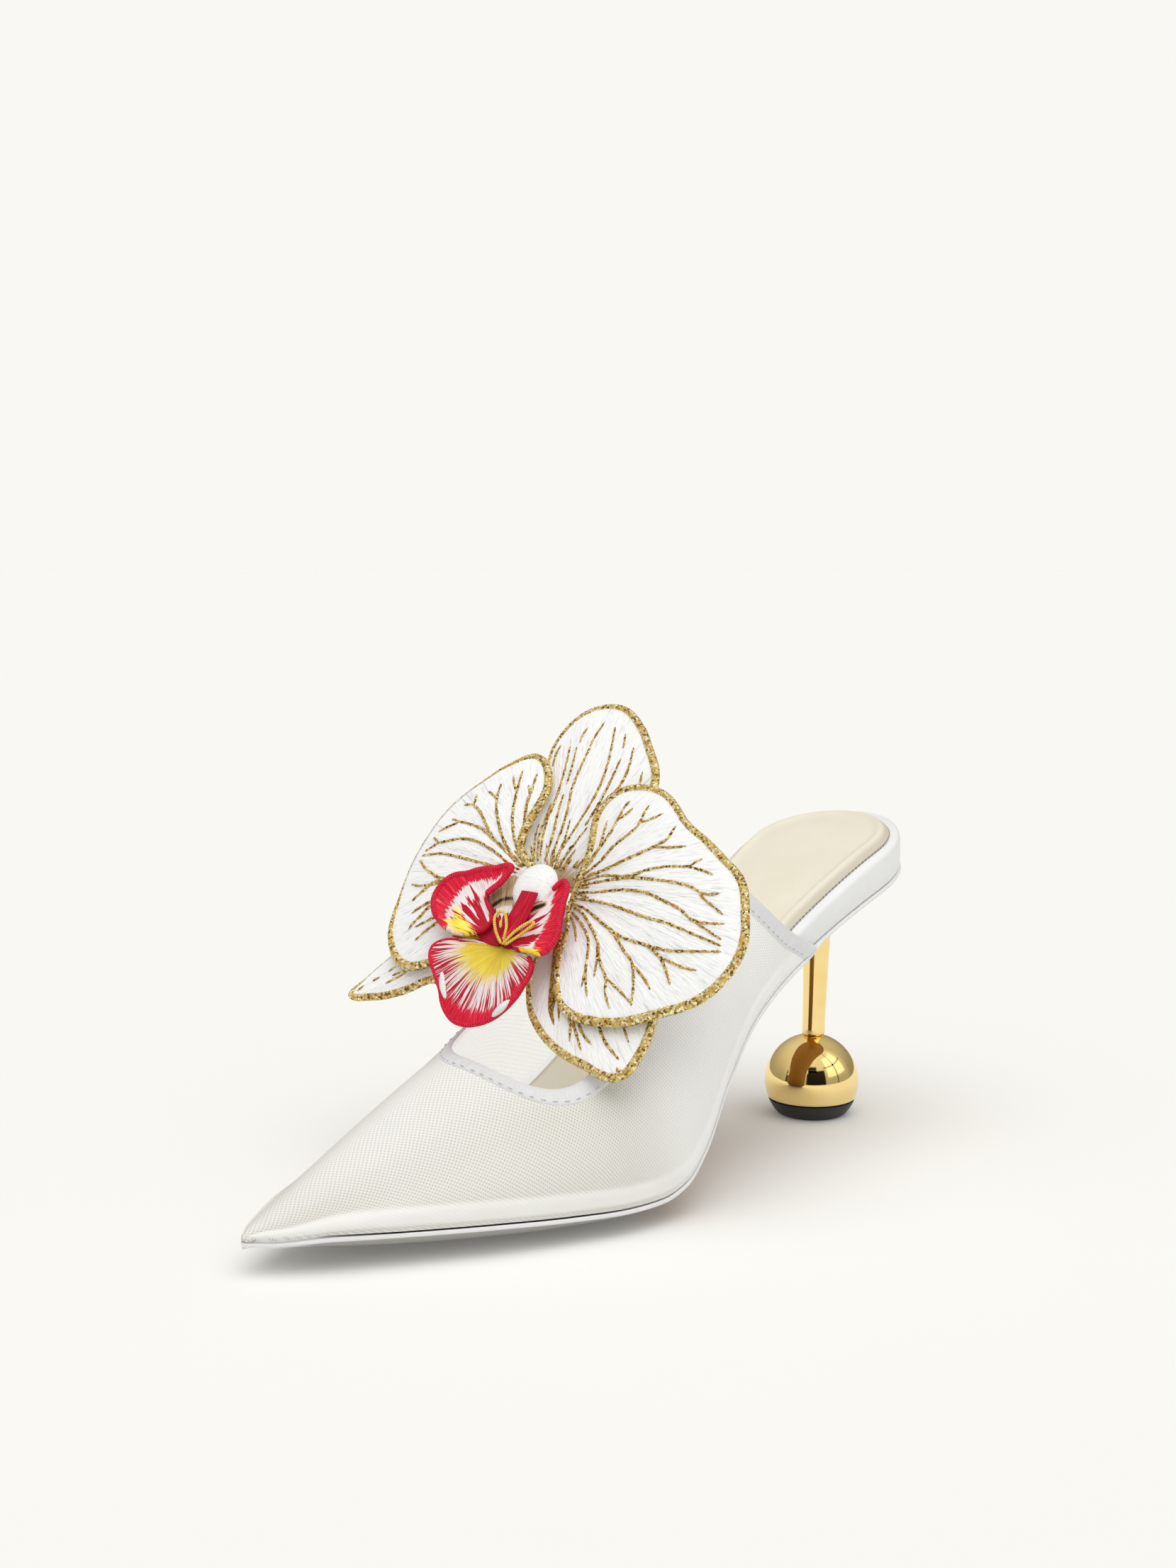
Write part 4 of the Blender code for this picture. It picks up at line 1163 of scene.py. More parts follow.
petalInner = {
    "name": "petalInner", "node": "petal_inner", "middle": (-32, 8),
    "level": 4.6, "dome": 3.0, "rise": 0.0, "drop": 1.6, "base": (-9, 5), "fan": (112, 196, 9, 6.0, 14.0),
    "rays": [(346, 30.0), (358, 22.5), (15, 17.0), (34, 16.8), (50, 21.5), (62, 32.0), (78, 38.0),
             (92, 33.5), (108, 28.0), (132, 23.8), (160, 21.0), (190, 21.6), (214, 25.0), (236, 32.5),
             (254, 36.0), (272, 31.5), (300, 25.0), (328, 26.0)],
    "cord": [(15, 1.35), (50, 1.3), (70, 1.2), (84, 0.95), (100, 0.6), (125, 0.42), (170, 0.38),
             (205, 0.5), (225, 0.9), (250, 1.25), (275, 1.2), (330, 1.0), (350, 1.35)],
    "veins": [
        [(-14, 8), (-18, 12.5), (-21.5, 17.5), (-24, 24), (-25.5, 30.5), (-27, 39)],
        [(-26, 31.5), (-27.5, 33.5), (-29.5, 37)],
        [(-13, 9.5), (-17.5, 14), (-19, 20), (-19, 27)],
        [(-18, 15), (-20, 22.5), (-21, 28.5), (-21.2, 31), (-22, 38.5)],
        [(-21, 30.5), (-21.8, 32), (-23, 34)],
        [(-14.5, 8), (-22, 13.5), (-26.5, 19.5), (-31, 27.5), (-32.5, 34)],
        [(-31, 28), (-33, 29.5), (-36, 31.2)],
        [(-15, 7.5), (-22.5, 12.5), (-27.5, 15.5), (-32, 18), (-37.5, 19.5), (-40.5, 20), (-44.5, 21)],
        [(-41, 19.8), (-44.5, 18), (-47.5, 16.5)],
        [(-27, 15.5), (-31, 19.5), (-35.5, 24), (-39, 26), (-42.5, 26)],
        [(-38.5, 26), (-39, 28), (-39.5, 30)],
        [(-16.5, 6.5), (-23.5, 10.5), (-29.5, 13), (-34, 14), (-38, 14), (-43, 13), (-45.5, 12.5),
         (-49.5, 10)],
        [(-45, 12.5), (-46.5, 13.5), (-48.5, 14.8)],
        [(-18, 6), (-27, 7), (-34, 8), (-41, 9), (-45, 9), (-50, 8.5)],
        [(-30, 0), (-38.5, 1), (-43, 2.5), (-47.5, 5), (-50, 7.2)],
        [(-34, 1), (-40, 0), (-44.5, -4), (-46.5, -6.5)],
        [(-36, 0), (-45, -1.5), (-49.5, -1)], [(-34, -3), (-39, -6), (-42, -8), (-45, -10.5)],
        [(-33, -4), (-39, -8), (-41, -11), (-43, -13.5), (-44, -15.5)],
        [(-31, -7), (-37, -11.5), (-42, -14.5)],
        [(-30, -8), (-36.5, -14), (-40.5, -18.5)],
    ],
}
petalOuter = {
    "name": "petalOuter", "node": "petal_outer", "middle": (30, 0),
    "level": 4.6, "dome": 3.0, "rise": 1.4, "drop": 1.6, "base": (-1, 4), "fan": (-68, 72, 18, 5.5, 12.0),
    "rays": [(0, 29.2), (20, 26.8), (42, 23.6), (66, 23.6), (88, 27.0), (106, 37.2), (122, 42.0),
             (134, 40.0), (147, 32.0), (163, 28.0), (180, 27.5), (203, 26.6), (226, 32.4), (244, 37.0),
             (268, 36.0), (292, 34.4), (315, 35.6), (338, 33.9)],
    "cord": [(0, 1.2), (60, 1.1), (100, 1.05), (122, 1.15), (140, 1.3), (165, 1.1), (200, 0.9),
             (235, 1.1), (265, 1.3), (320, 1.25)],
    "veins": [
        [(1.5, 6), (5.5, 10.5), (7.5, 16), (7.2, 21), (7, 24.5)],
        [(3, 7), (6.5, 13.5), (9.5, 20), (10.5, 25.5), (11, 29), (12, 31.2)],
        [(10.7, 25), (12, 26), (14, 28.8)],
        [(2, 5.5), (8.5, 10.5), (12.5, 16.5), (16.5, 21), (18, 24), (18.2, 27), (18.7, 30)],
        [(18, 24), (21, 25.5), (24, 27.7)],
        [(2.5, 5.5), (12, 9), (19.5, 13), (24.5, 16), (28, 19), (28.7, 21), (29, 24.3)],
        [(25.3, 16.4), (30, 17), (34.8, 18)],
        [(2.5, 4.5), (11.5, 7), (20.5, 7), (26.5, 9.5), (32, 11), (37.5, 11.6), (39, 13), (40.7, 14.8)],
        [(37.3, 11.5), (41.5, 11), (45.8, 9.8)],
        [(3, 4), (10.5, 5), (20.5, 6.5), (29, 6.5), (37.5, 6), (43, 4.5), (45.5, 2.5), (52.5, -1.5)],
        [(43.8, 4), (46.5, 3.8), (49.8, 4.6)],
        [(3.5, 2.5), (11.5, 2), (20, 3), (28, 2.5), (34.5, 0.5), (40, -1.5), (44, -4), (49.5, -6.5),
         (54.5, -8.7)],
        [(44, -4), (48.5, -4.6), (54, -4)],
        [(4, 0.5), (10.5, -0.5), (19, -2), (29, -4.5), (38, -6), (45.5, -8), (55, -10.5)],
        [(4, -1), (10, -3), (18, -7.5), (25.5, -11), (33, -12.5), (40.5, -13.5), (48, -13), (55.5, -12)],
        [(33.5, -12.5), (38.5, -15.5), (41.5, -19), (44, -22.8)],
        [(38.3, -15.4), (45.5, -17.5), (50.3, -18)],
        [(12, -4), (22, -10), (27.5, -15), (31, -18), (33.5, -24), (34.5, -29.7)],
        [(30.8, -17.8), (36, -22), (38.8, -24.8)],
        [(5, -2), (10.5, -5), (18, -12.5), (20.5, -17.5), (24.5, -23), (25.7, -27), (28.5, -31.2)],
        [(24.2, -22.6), (29, -25.5), (34.5, -29)],
        [(5, -3.5), (10.5, -7.5), (15, -12.5), (17, -19.5), (18, -26.2)],
        [(17, -20), (18.7, -24.5), (20.7, -28.7)],
        [(5, -4.5), (8.5, -8.5), (11, -13.2)], [(18.5, -14), (20, -18), (20.7, -23)],
    ],
}
petals = [sepalTop, sepalInner, sepalOuter, petalInner, petalOuter]


def reachAt(rays, bearing):  # smooth closed outline through the rays
    rows = sorted(rays)
    wrapped = [(b - 360, r) for b, r in rows] + rows + [(b + 360, r) for b, r in rows]
    bearing %= 360
    i = max(k for k in range(len(wrapped) - 2) if wrapped[k][0] <= bearing)
    (b0, r0), (b1, r1), (b2, r2), (b3, r3) = wrapped[i - 1:i + 3]
    span = b2 - b1
    t = (bearing - b1) / span
    leave, arrive = (r2 - r0) / (b2 - b0) * span, (r3 - r1) / (b3 - b1) * span
    return (r1 * (1 + 2 * t) * (1 - t) ** 2 + r2 * t * t * (3 - 2 * t)
            + leave * t * (1 - t) ** 2 - arrive * t * t * (1 - t))


def petalHeight(petal, across, up):
    (middleX, middleY), (baseX, baseY) = petal["middle"], petal["base"]
    reach = reachAt(petal["rays"], bearingFrom(petal["middle"], across, up))
    share = min(math.hypot(across - middleX, up - middleY) / reach, 1.0)
    fromMiddle, fromBase = math.hypot(across, up), math.hypot(across - baseX, up - baseY)
    height = petal["level"] + petal["dome"] * (1 - share * share)
    height += petal["rise"] * (fromMiddle / flowerLook["riseReach"]) ** 2
    height -= petal["drop"] * bell(fromMiddle, 0.0, flowerLook["claw"])
    heading = math.atan2(up - baseY, across - baseX)
    furrow = sum(depth * math.sin(heading * waves + shift) for waves, shift, depth in flowerLook["furrows"])
    height += furrow * ease(*flowerLook["furrowRun"], fromBase) * (1 - share ** 4)
    return height + lipRelief(across, up, height) if "rimRun" in petal else height


def onPetal(petal, across, up, lift):
    return flowerPoint(across, up, petalHeight(petal, across, up) + lift)


def rayBearings(rays, perRay):
    starts = sorted(b for b, r in rays)
    ends = starts[1:] + [starts[0] + 360]
    return [a + (b - a) * i / perRay for a, b in zip(starts, ends) for i in range(perRay)]


def petalSpot(petal, bearing, share, inset=0.0):
    reach = (reachAt(petal["rays"], bearing) - inset) * share
    a = math.radians(bearing)
    return petal["middle"][0] + reach * math.cos(a), petal["middle"][1] + reach * math.sin(a)


def petalSheet(bm, petal, rings, perRay, inset):  # polar grid over the petal, with its threads' own UV
    bearings = rayBearings(petal["rays"], perRay)
    columns = len(bearings)
    spots = {}

    def where(s, t):
        key = (round(s * columns) % columns, round(t * rings))
        if key not in spots:
            spots[key] = petalSpot(petal, bearings[key[0]], key[1] / rings, inset)
        return spots[key]

    def fan(s, t):
        across, up = where(s, t)
        dx, dy = across - petal["base"][0], up - petal["base"][1]
        aim = math.atan2(petal["middle"][1] - petal["base"][1], petal["middle"][0] - petal["base"][0])
        turned = (math.atan2(dy, dx) - aim + math.pi) % (2 * math.pi) - math.pi
        return turned * petal.get("fanScale", flowerLook["fanScale"]), math.hypot(dx, dy)

    placed = rollGrid(bm, columns, rings, lambda s, t: onPetal(petal, *where(s, t), 0.0), fan)
    return {v: where(s, t) for v, (s, t) in placed.items()}


def makePetal(petal):
    bm = bmesh.new()
    gild = bm.verts.layers.float.new("gild")
    placed = petalSheet(bm, petal, flowerLook["rings"], flowerLook["perRay"], flowerLook["inset"])
    for v, spot in placed.items():
        v[gild] = giltShare(*spot)
    joinSeams(bm)
    body = addPiece(petal["name"], bm, silk, [petal["node"]], 80)
    giveWall(body, flowerLook["thick"])


def makeEdging(petal):
    bm = bmesh.new()
    ring = []
    for bearing in rayBearings(petal["rays"], edgingLook["perRay"]):
        spot = petalSpot(petal, bearing, 1.0, reachAt(petal["cord"], bearing))
        ring.append(onPetal(petal, *spot, edgingLook["lift"]))
    path = evenSteps(ring + [ring[0]], edgingLook["step"])

    def radius(t):
        spot = acrossAndUp(path[round(t * (len(path) - 1))])
        return reachAt(petal["cord"], bearingFrom(petal["middle"], *spot))

    addCord(bm, path, radius, faceDir, edgingLook["sides"], True, edgingLook["ridge"], edgingLook["pitch"])
    closeUp(bm)
    addPiece(petal["name"] + "Edging", bm, goldCord)


def fanLines(petal):  # short lines that crowd together at the claw
    if "fan" not in petal:
        return []
    first, last, count, start, end = petal["fan"]
    baseX, baseY = petal["base"]
    lines = []
    for i in range(count):
        a = math.radians(first + (last - first) * i / (count - 1))
        stop = end * (veinLook["fanShare"] + (1 - veinLook["fanShare"]) * math.sin(i * veinLook["fanBeat"]))
        stops = (start, (start + stop) / 2, stop)
        lines.append([(baseX + d * math.cos(a), baseY + d * math.sin(a)) for d in stops])
    return lines


def makeVeins(petal):
    bm = bmesh.new()
    for vein in petal["veins"] + fanLines(petal):
        path = [onPetal(petal, p.x, p.y, veinLook["lift"]) for p in smoothPath(vein, veinLook["step"])]
        thick = veinLook["long" if len(vein) > 3 else "short"] * petal.get("veinScale", 1.0)

        def radius(t):  # slim at both ends, uneven like a stitched line
            slim = veinLook["startShare"]
            swell = slim + (1 - slim) * math.sin(math.pi * min(t * veinLook["fullAt"], 1.0))
            return thick * (swell + veinLook["wobble"] * math.sin(t * len(path) * veinLook["wobbleBeat"]))

        addCord(bm, path, radius, faceDir, veinLook["sides"])
    closeUp(bm)
    addPiece(petal["name"] + "Veins", bm, goldVein)


strandLook = {"start": 4.0, "end": 62.0, "rowStep": 4.6, "acrossStep": 1.05, "fewest": 6, "length": 8.5,
              "lengthSway": 0.35, "startSway": 2.2, "bend": 0.05, "parts": 4, "radius": 0.48, "sides": 5,
              "sink": 0.30, "edgeRoom": 1.6, "noiseStep": (1.37, 2.11), "seed": 7}
noise.seed_set(strandLook["seed"])  # the same strands each run


def insidePetal(petal, across, up, room):
    distance = math.hypot(across - petal["middle"][0], up - petal["middle"][1])
    return distance < reachAt(petal["rays"], bearingFrom(petal["middle"], across, up)) - room


def strandRun(petal, start, length, a, sway):
    lift = flowerLook["thick"] / 2 - strandLook["sink"]
    run = []
    for k in range(strandLook["parts"] + 1):
        d = start + length * k / strandLook["parts"]
        bend = a + strandLook["bend"] * sway * k / strandLook["parts"]
        spot = (petal["base"][0] + d * math.cos(bend), petal["base"][1] + d * math.sin(bend))
        if insidePetal(petal, *spot, strandLook["edgeRoom"]):
            run.append(onPetal(petal, *spot, lift))
    return run


def makeStrands(petal):  # satin stitches laid out from the claw, each a thin bulge on the silk
    bm = bmesh.new()
    gild = bm.verts.layers.float.new("gild")
    stepX, stepY = strandLook["noiseStep"]
    row = 0
    distance = strandLook["start"]
    while distance < strandLook["end"]:
        count = max(strandLook["fewest"], int(2 * math.pi * distance / strandLook["acrossStep"]))
        for i in range(count):
            jitter = noise.noise_vector(Vector((i * stepX, row * stepY, petal["base"][0])))
            a = 2 * math.pi * (i + 0.5 * (row % 2) + 0.5 * jitter.x) / count
            start = distance + strandLook["startSway"] * jitter.y
            length = strandLook["length"] * (1.0 + strandLook["lengthSway"] * jitter.z)
            run = strandRun(petal, start, length, a, jitter.x)
            if len(run) > 3:
                uvFrom = (a * flowerLook["fanScale"], start)
                addCord(bm, run, strandLook["radius"], faceDir, strandLook["sides"], uvFrom=uvFrom)
        distance += strandLook["rowStep"]
        row += 1
    for v in bm.verts:
        v[gild] = giltShare(*acrossAndUp(v.co / mm))
    closeUp(bm)
    addPiece(petal["name"] + "Strands", bm, silk, (), 80)


for petal in petals:
    makePetal(petal)
    makeStrands(petal)
    makeEdging(petal)
    makeVeins(petal)


# Brown strip under the outer petal's near edge, thin at its tail: the edge's side seen in shade, a darker
# copy of the gold cord as painted shade
foldLook = {
    "path": [(4.3, -9.8, 4.6), (5.7, -16.5, 4.4), (7.0, -23.0, 3.9), (8.1, -29.5, 3.5), (9.2, -33.1, 3.3),
             (12.0, -37.0, 3.1)],
    "width": [(0.0, 1.4), (0.25, 1.75), (0.5, 1.45), (0.7, 1.05), (0.85, 0.6), (1.0, 0.22)],
    "step": 0.4, "sides": 12, "ridge": 0.05, "pitch": 0.9,
}


def makeFold():
    bm = bmesh.new()
    path = [flowerPoint(*p) for p in smoothPath(foldLook["path"], foldLook["step"])]
    addCord(bm, path, lambda t: tableAt(foldLook["width"], t), faceDir, foldLook["sides"], False,
            foldLook["ridge"], foldLook["pitch"])
    closeUp(bm)
    addPiece("petalFoldShade", bm, goldCordShade)


makeFold()

# Lip: three lobes stitched as one picture round the throat of the flower, laid out as seen from the toe
lipLook = {
    "throat": (-8.6, -19.0), "plane": 11.0, "leanAcross": 0.694, "leanUp": -0.479, "thick": 1.4, "rings": 30,
    "perRay": 14, "inset": 0.3, "rimRaise": 0.5, "throatDip": 1.4, "throatWidth": 6.5,
}
rimLook = {"spots": 120, "step": 0.4, "lift": 0.25, "sides": 10, "ridge": 0.04, "pitch": 0.8}
lipMid = {
    "name": "lipMid", "node": "lip_mid", "middle": (-13, -29),
    "level": 10.0, "dome": 2.2, "rise": 0.0, "drop": 0.0, "base": lipLook["throat"],
    "rays": [(0, 16.4), (22, 17.5), (48, 14.2), (90, 11.2), (130, 14.5), (155, 19.6), (180, 14.0),
             (207, 11.2), (240, 12.2), (270, 14.2), (300, 15.2), (330, 15.6)],
    "fanScale": 58.0, "rimRun": (132, 392), "rimCord": 0.7,
}
lipInner = {
    "name": "lipInner", "node": "lip_inner", "middle": (-26, -6),
    "level": 12.2, "dome": -1.8, "rise": 0.0, "drop": 0.0, "base": lipLook["throat"],
    "rays": [(0, 8.6), (17, 9.2), (33, 14.8), (41, 17.0), (53, 12.6), (95, 8.2), (140, 9.0), (180, 9.7),
             (225, 9.8), (265, 10.8), (305, 13.4), (330, 14.6)],
    "fanScale": 19.0, "rimRun": (10, 238), "rimCord": 0.9,
}
lipOuter = {
    "name": "lipOuter", "node": "lip_outer", "middle": (2, -10),
    "level": 12.6, "dome": -1.8, "rise": 0.0, "drop": 0.0, "base": lipLook["throat"],
    "rays": [(0, 6.6), (45, 7.8), (74, 12.6), (88, 9.0), (115, 6.2), (165, 6.4), (205, 9.0), (232, 11.4),
             (262, 10.4), (295, 11.8), (330, 8.6)],
    "fanScale": 19.0, "rimRun": (-62, 88), "rimCord": 0.9,
}
lobes = [lipMid, lipInner, lipOuter]
# about the throat, by heading: reach of the lip's edge, share of it where the plain red rim starts,
# reach of the yellow burst
lipEdge = [(-180, 23.6), (-161, 21.5), (-144, 21.3), (-126, 22.5), (-117, 23.7), (-100, 26.3),
           (-90, 26.4), (-79, 25.0), (-64, 21.3), (-50, 17.1), (-37, 16.1), (-23, 14.3), (-15, 13.9),
           (-1, 15.0), (13, 17.1), (31, 19.9), (44, 22.1), (57, 24.1), (63, 25.3), (100, 23.2),
           (103, 25.6), (108, 25.9), (118, 25.3), (127, 27.4), (139, 29.4), (150, 29.9), (160, 28.5),
           (167, 25.8), (172, 22.2), (180, 23.6)]
lipRim = [(-180, 0.95), (-140, 0.92), (-126, 0.86), (-110, 0.79), (-95, 0.75), (-80, 0.78), (-65, 0.87),
          (-30, 0.93), (-15, 0.85), (-5, 0.74), (13, 0.66), (30, 0.70), (44, 0.77), (58, 0.83),
          (66, 0.86), (100, 0.84), (112, 0.86), (120, 0.88), (134, 0.88), (150, 0.80), (160, 0.78),
          (168, 0.78), (174, 0.93), (180, 0.95)]
lipGold = [(-180, 13.0), (-165, 14.0), (-140, 12.0), (-106, 11.6), (-80, 11.0), (-52, 9.0), (-30, 8.0),
           (-14, 7.0)]


def lipSeen(across, up, height):  # where a point shows on the lip's own plane
    rise = height - lipLook["plane"]
    return across - lipLook["leanAcross"] * rise, up - lipLook["leanUp"] * rise


def lipAt(across, up, height):
    rise = height - lipLook["plane"]
    return flowerPoint(across + lipLook["leanAcross"] * rise, up + lipLook["leanUp"] * rise, height)


def fromThroat(across, up):
    return math.hypot(across - lipLook["throat"][0], up - lipLook["throat"][1])


# the lip's stitched picture, by heading, distance and share of the reach about the throat
lipPaint = {
    "rimSoft": (-0.11, 0.09), "lower": (-177.0, -13.0), "burst": 0.95, "burstRun": (0.5, 1.35),
    "lowerBlush": 0.30, "edgeBlush": 0.34, "edgeRun": (0.45, 0.92), "flame": 0.9,
    "leftAt": 169.0, "leftFrom": 11.4, "leftWidth": 8.5, "leftIn": (6.0, 11.0), "leftOut": (18.0, 25.0),
    "rightAt": -6.0, "rightWidth": 8.0, "rightIn": (5.0, 7.5), "rightOut": (11.0, 15.0),
    "brownAndShade": 0.66, "brownShadeAt": (108.0, 23.0), "brownShadeRun": (11.0, 13.5),
    "blush": 0.98, "fades": [(0.34, 0.28, 0.46), (0.5, 0.58, 0.80)], "early": 0.08, "earlyBelow": 80.0,
    "pale": 0.8, "paleAt": (112.0, 14.0), "paleRun": (8.5, 10.5),
}


def lipFlame(side, middle, heading, distance):  # yellow streak along a heading
    ends = ease(*lipPaint[side + "In"], distance) * (1 - ease(*lipPaint[side + "Out"], distance))
    return lipPaint["flame"] * bell(heading, middle, lipPaint[side + "Width"]) * ends


def lipTone(across, up):  # shares of rim red, yellow, dark stripes, and the hollow's brown threads with painted shade
    distance, heading = fromThroat(across, up), bearingFrom(lipLook["throat"], across, up)
    share = distance / tableAt(lipEdge, heading)
    begins = tableAt(lipRim, heading)
    rim = ease(begins + lipPaint["rimSoft"][0], begins + lipPaint["rimSoft"][1], share)
    first, last = lipPaint["lower"]
    if first < heading < last:
        near, far = (reach * tableAt(lipGold, heading) for reach in lipPaint["burstRun"])
        blush = lipPaint["lowerBlush"] + lipPaint["edgeBlush"] * ease(*lipPaint["edgeRun"], share)
        return rim, lipPaint["burst"] * (1 - ease(near, far, distance)), blush, 0.0
    left = lipFlame("left", lipPaint["leftAt"] - (distance - lipPaint["leftFrom"]), heading, distance)
    right = lipFlame("right", lipPaint["rightAt"], heading, distance)
    brownAndShade = lipPaint["brownAndShade"] * bell(heading, *lipPaint["brownShadeAt"]) ** 0.5
    brownAndShade *= ease(*lipPaint["brownShadeRun"], distance)
    outward = share + (lipPaint["early"] if heading < lipPaint["earlyBelow"] else 0.0)
    blush = lipPaint["blush"] - sum(drop * ease(low, high, outward) for drop, low, high in lipPaint["fades"])
    pale = lipPaint["pale"] * bell(heading, *lipPaint["paleAt"]) * ease(*lipPaint["paleRun"], distance)
    blush *= 1.0 - pale
    return rim, max(left, right), blush, brownAndShade


def lipRelief(across, up, height):
    seen = lipSeen(across, up, height)
    dip = lipLook["throatDip"] * bell(fromThroat(*seen), 0.0, lipLook["throatWidth"])
    return lipLook["rimRaise"] * lipTone(*seen)[0] - dip


def paintLip(bm, placed, seenOf, traits):
    layers = [bm.verts.layers.float[name] for name in traits]
    for v, spot in placed.items():
        for layer, share in zip(layers, lipTone(*seenOf(spot))):
            v[layer] = share


# painted shade: dark lines where openings under the column fall in shadow
slitShade = {
    "width": 1.1, "depth": 1.05, "step": 0.3,
    "onHollow": [(-16.4, -8.2), (-14.8, -6.3), (-13.6, -5.3), (-12.1, -4.8), (-10.3, -4.5)],
    "onLobe": [(-3.4, -7.8), (-1.8, -6.4), (0.1, -5.5)],
}


def paintSlitShade(bm, placed, seenOf, run):  # painted shade of a dark opening along a short line
    brownAndShade = bm.verts.layers.float["brownAndShade"]
    line = smoothPath(run, slitShade["step"])
    for v, spot in placed.items():
        across, up = seenOf(spot)
        nearest = min(math.hypot(p.x - across, p.y - up) for p in line)
        v[brownAndShade] = max(v[brownAndShade], slitShade["depth"] * bell(nearest, 0.0, slitShade["width"]))


silkTraits = ("rim", "gild", "blush", "brownAndShade")


def newSilkSheet():
    bm = bmesh.new()
    for name in silkTraits:
        bm.verts.layers.float.new(name)
    return bm


def makeLobe(lobe):
    bm = newSilkSheet()
    placed = petalSheet(bm, lobe, lipLook["rings"], lipLook["perRay"], lipLook["inset"])

    def seenOf(spot):
        return lipSeen(*spot, petalHeight(lobe, *spot))

    paintLip(bm, placed, seenOf, silkTraits[:3])
    # painted shade of a dark opening beside the tongue
    if lobe is lipOuter:
        paintSlitShade(bm, placed, seenOf, slitShade["onLobe"])
    joinSeams(bm)
    body = addPiece(lobe["name"], bm, redSilk, [lobe["node"]], 80)
    giveWall(body, lipLook["thick"])


def makeLipRims():
    bm = bmesh.new()
    for lobe in lobes:
        first, last = lobe["rimRun"]
        radius = lobe["rimCord"]
        run = []
        for i in range(rimLook["spots"] + 1):
            spot = petalSpot(lobe, first + (last - first) * i / rimLook["spots"], 1.0, radius)
            run.append(onPetal(lobe, *spot, rimLook["lift"]))
        path = evenSteps(run, rimLook["step"])
        addCord(bm, path, radius, faceDir, rimLook["sides"], False, rimLook["ridge"], rimLook["pitch"])
    closeUp(bm)
    addPiece("lipRims", bm, redThread)


slitLook = {
    "radius": 1.1, "endShare": 0.35, "step": 0.5, "lift": 0.62, "from": (-0.5, 0.3), "sides": 8,
    "runs": [[(-24.0, -28.2), (-22.0, -32.3), (-19.3, -36.3)], [(0.6, -33.8), (-1.3, -36.8), (-3.1, -39.5)]],
}


def makeSlits():  # the two pale gaps between the lower lobe and its edge cord
    bm = bmesh.new()

    def radius(t):
        thin = slitLook["endShare"]
        return slitLook["radius"] * (thin + (1 - thin) * math.sin(math.pi * t))

    for run in slitLook["runs"]:
        path = []
        for p in smoothPath(run, slitLook["step"]):
            height = petalHeight(lipMid, p.x + slitLook["from"][0], p.y + slitLook["from"][1])
            path.append(lipAt(p.x, p.y, height + slitLook["lift"]))
        addCord(bm, path, radius, faceDir, slitLook["sides"])
    closeUp(bm)
    addPiece("lipSlits", bm, whiteThread)


# Column cap, red tongue, brown hollow with painted shade, and yellow callus loops
columnLook = {
    "across": -4.9, "up": -0.4, "long": 1.1, "foot": 6.6, "neck": 3.6, "neckRound": 0.6,
    "cap": 6.7, "low": 8.0, "middle": 10.6, "top": 13.7, "rim": [(0.86, 1.3), (0.97, 0.7)],
    "arcSteps": 16, "steps": 64, "threads": (1.6, 0.5, 4.0),
}


def makeColumn():
    foot, neck, cap, middle = (columnLook[key] for key in ("foot", "neck", "cap", "middle"))
    soft, count = columnLook["neckRound"], columnLook["arcSteps"]
    profile = [(0.0, foot), (neck - soft, foot), (neck, columnLook["low"] - soft)]
    profile += [(cap * share, middle - down) for share, down in columnLook["rim"]]
    for i in range(count + 1):
        a = math.pi / 2 * i / count
        profile.append((cap * math.cos(a), middle + (columnLook["top"] - middle) * math.sin(a)))
    bm = bmesh.new()
    bm.verts.layers.float.new("gild")
    spinProfile(bm, profile, columnLook["steps"])
    uvLayer = bm.loops.layers.uv.verify()
    across, slant, lengthwise = columnLook["threads"]
    for face in bm.faces:
        for loop in face.loops:
            spot = loop.vert.co
            loop[uvLayer].uv = (spot.y * across + spot.x * slant, spot.x * lengthwise)
    for v in bm.verts:
        across, up = columnLook["across"] + v.co.x, columnLook["up"] + v.co.y * columnLook["long"]
        v.co = flowerPoint(across, up, v.co.z) * mm
    closeUp(bm)
    cap = addPiece("columnCap", bm, silk, ["column"], 60)


tongueLook = {
    "path": [(-5.6, -1.9, 13.8), (-5.8, -5.4, 13.4), (-6.4, -9.6, 12.7), (-7.6, -14.4, 12.0),
             (-8.6, -18.2, 11.4)],
    "width": [(0.0, 5.0), (0.2, 5.4), (0.5, 5.8), (0.8, 3.4), (1.0, 1.4)],
    "thick": 0.9, "crown": 0.55, "step": 0.5, "columns": 14, "cloth": (9.0, 16.0), "rim": 0.3, "blush": 1.4,
}


def makeTongue():
    spine = smoothPath(tongueLook["path"], tongueLook["step"])
    rows = len(spine) - 1
    wide, high = tongueLook["cloth"]

    def place(s, t):
        k = round(t * rows)
        heading = (spine[min(k + 1, rows)] - spine[max(k - 1, 0)]).normalized()
        side = Vector((-heading.y, heading.x, 0.0)).normalized()
        c = 2 * s - 1
        spot = spine[k] + side * (c * tableAt(tongueLook["width"], k / rows) / 2)
        return lipAt(spot.x, spot.y, spot.z + tongueLook["crown"] * (1 - c * c))

    bm = newSilkSheet()
    placed = rollGrid(bm, tongueLook["columns"], rows, place, lambda s, t: (s * wide, t * high))
    for name in ("rim", "blush"):
        layer = bm.verts.layers.float[name]
        for v in placed:
            v[layer] = tongueLook[name]
    bmesh.ops.recalc_face_normals(bm, faces=bm.faces)
    tongue = addPiece("lipTongue", bm, redSilk, (), 80)
    giveWall(tongue, tongueLook["thick"])


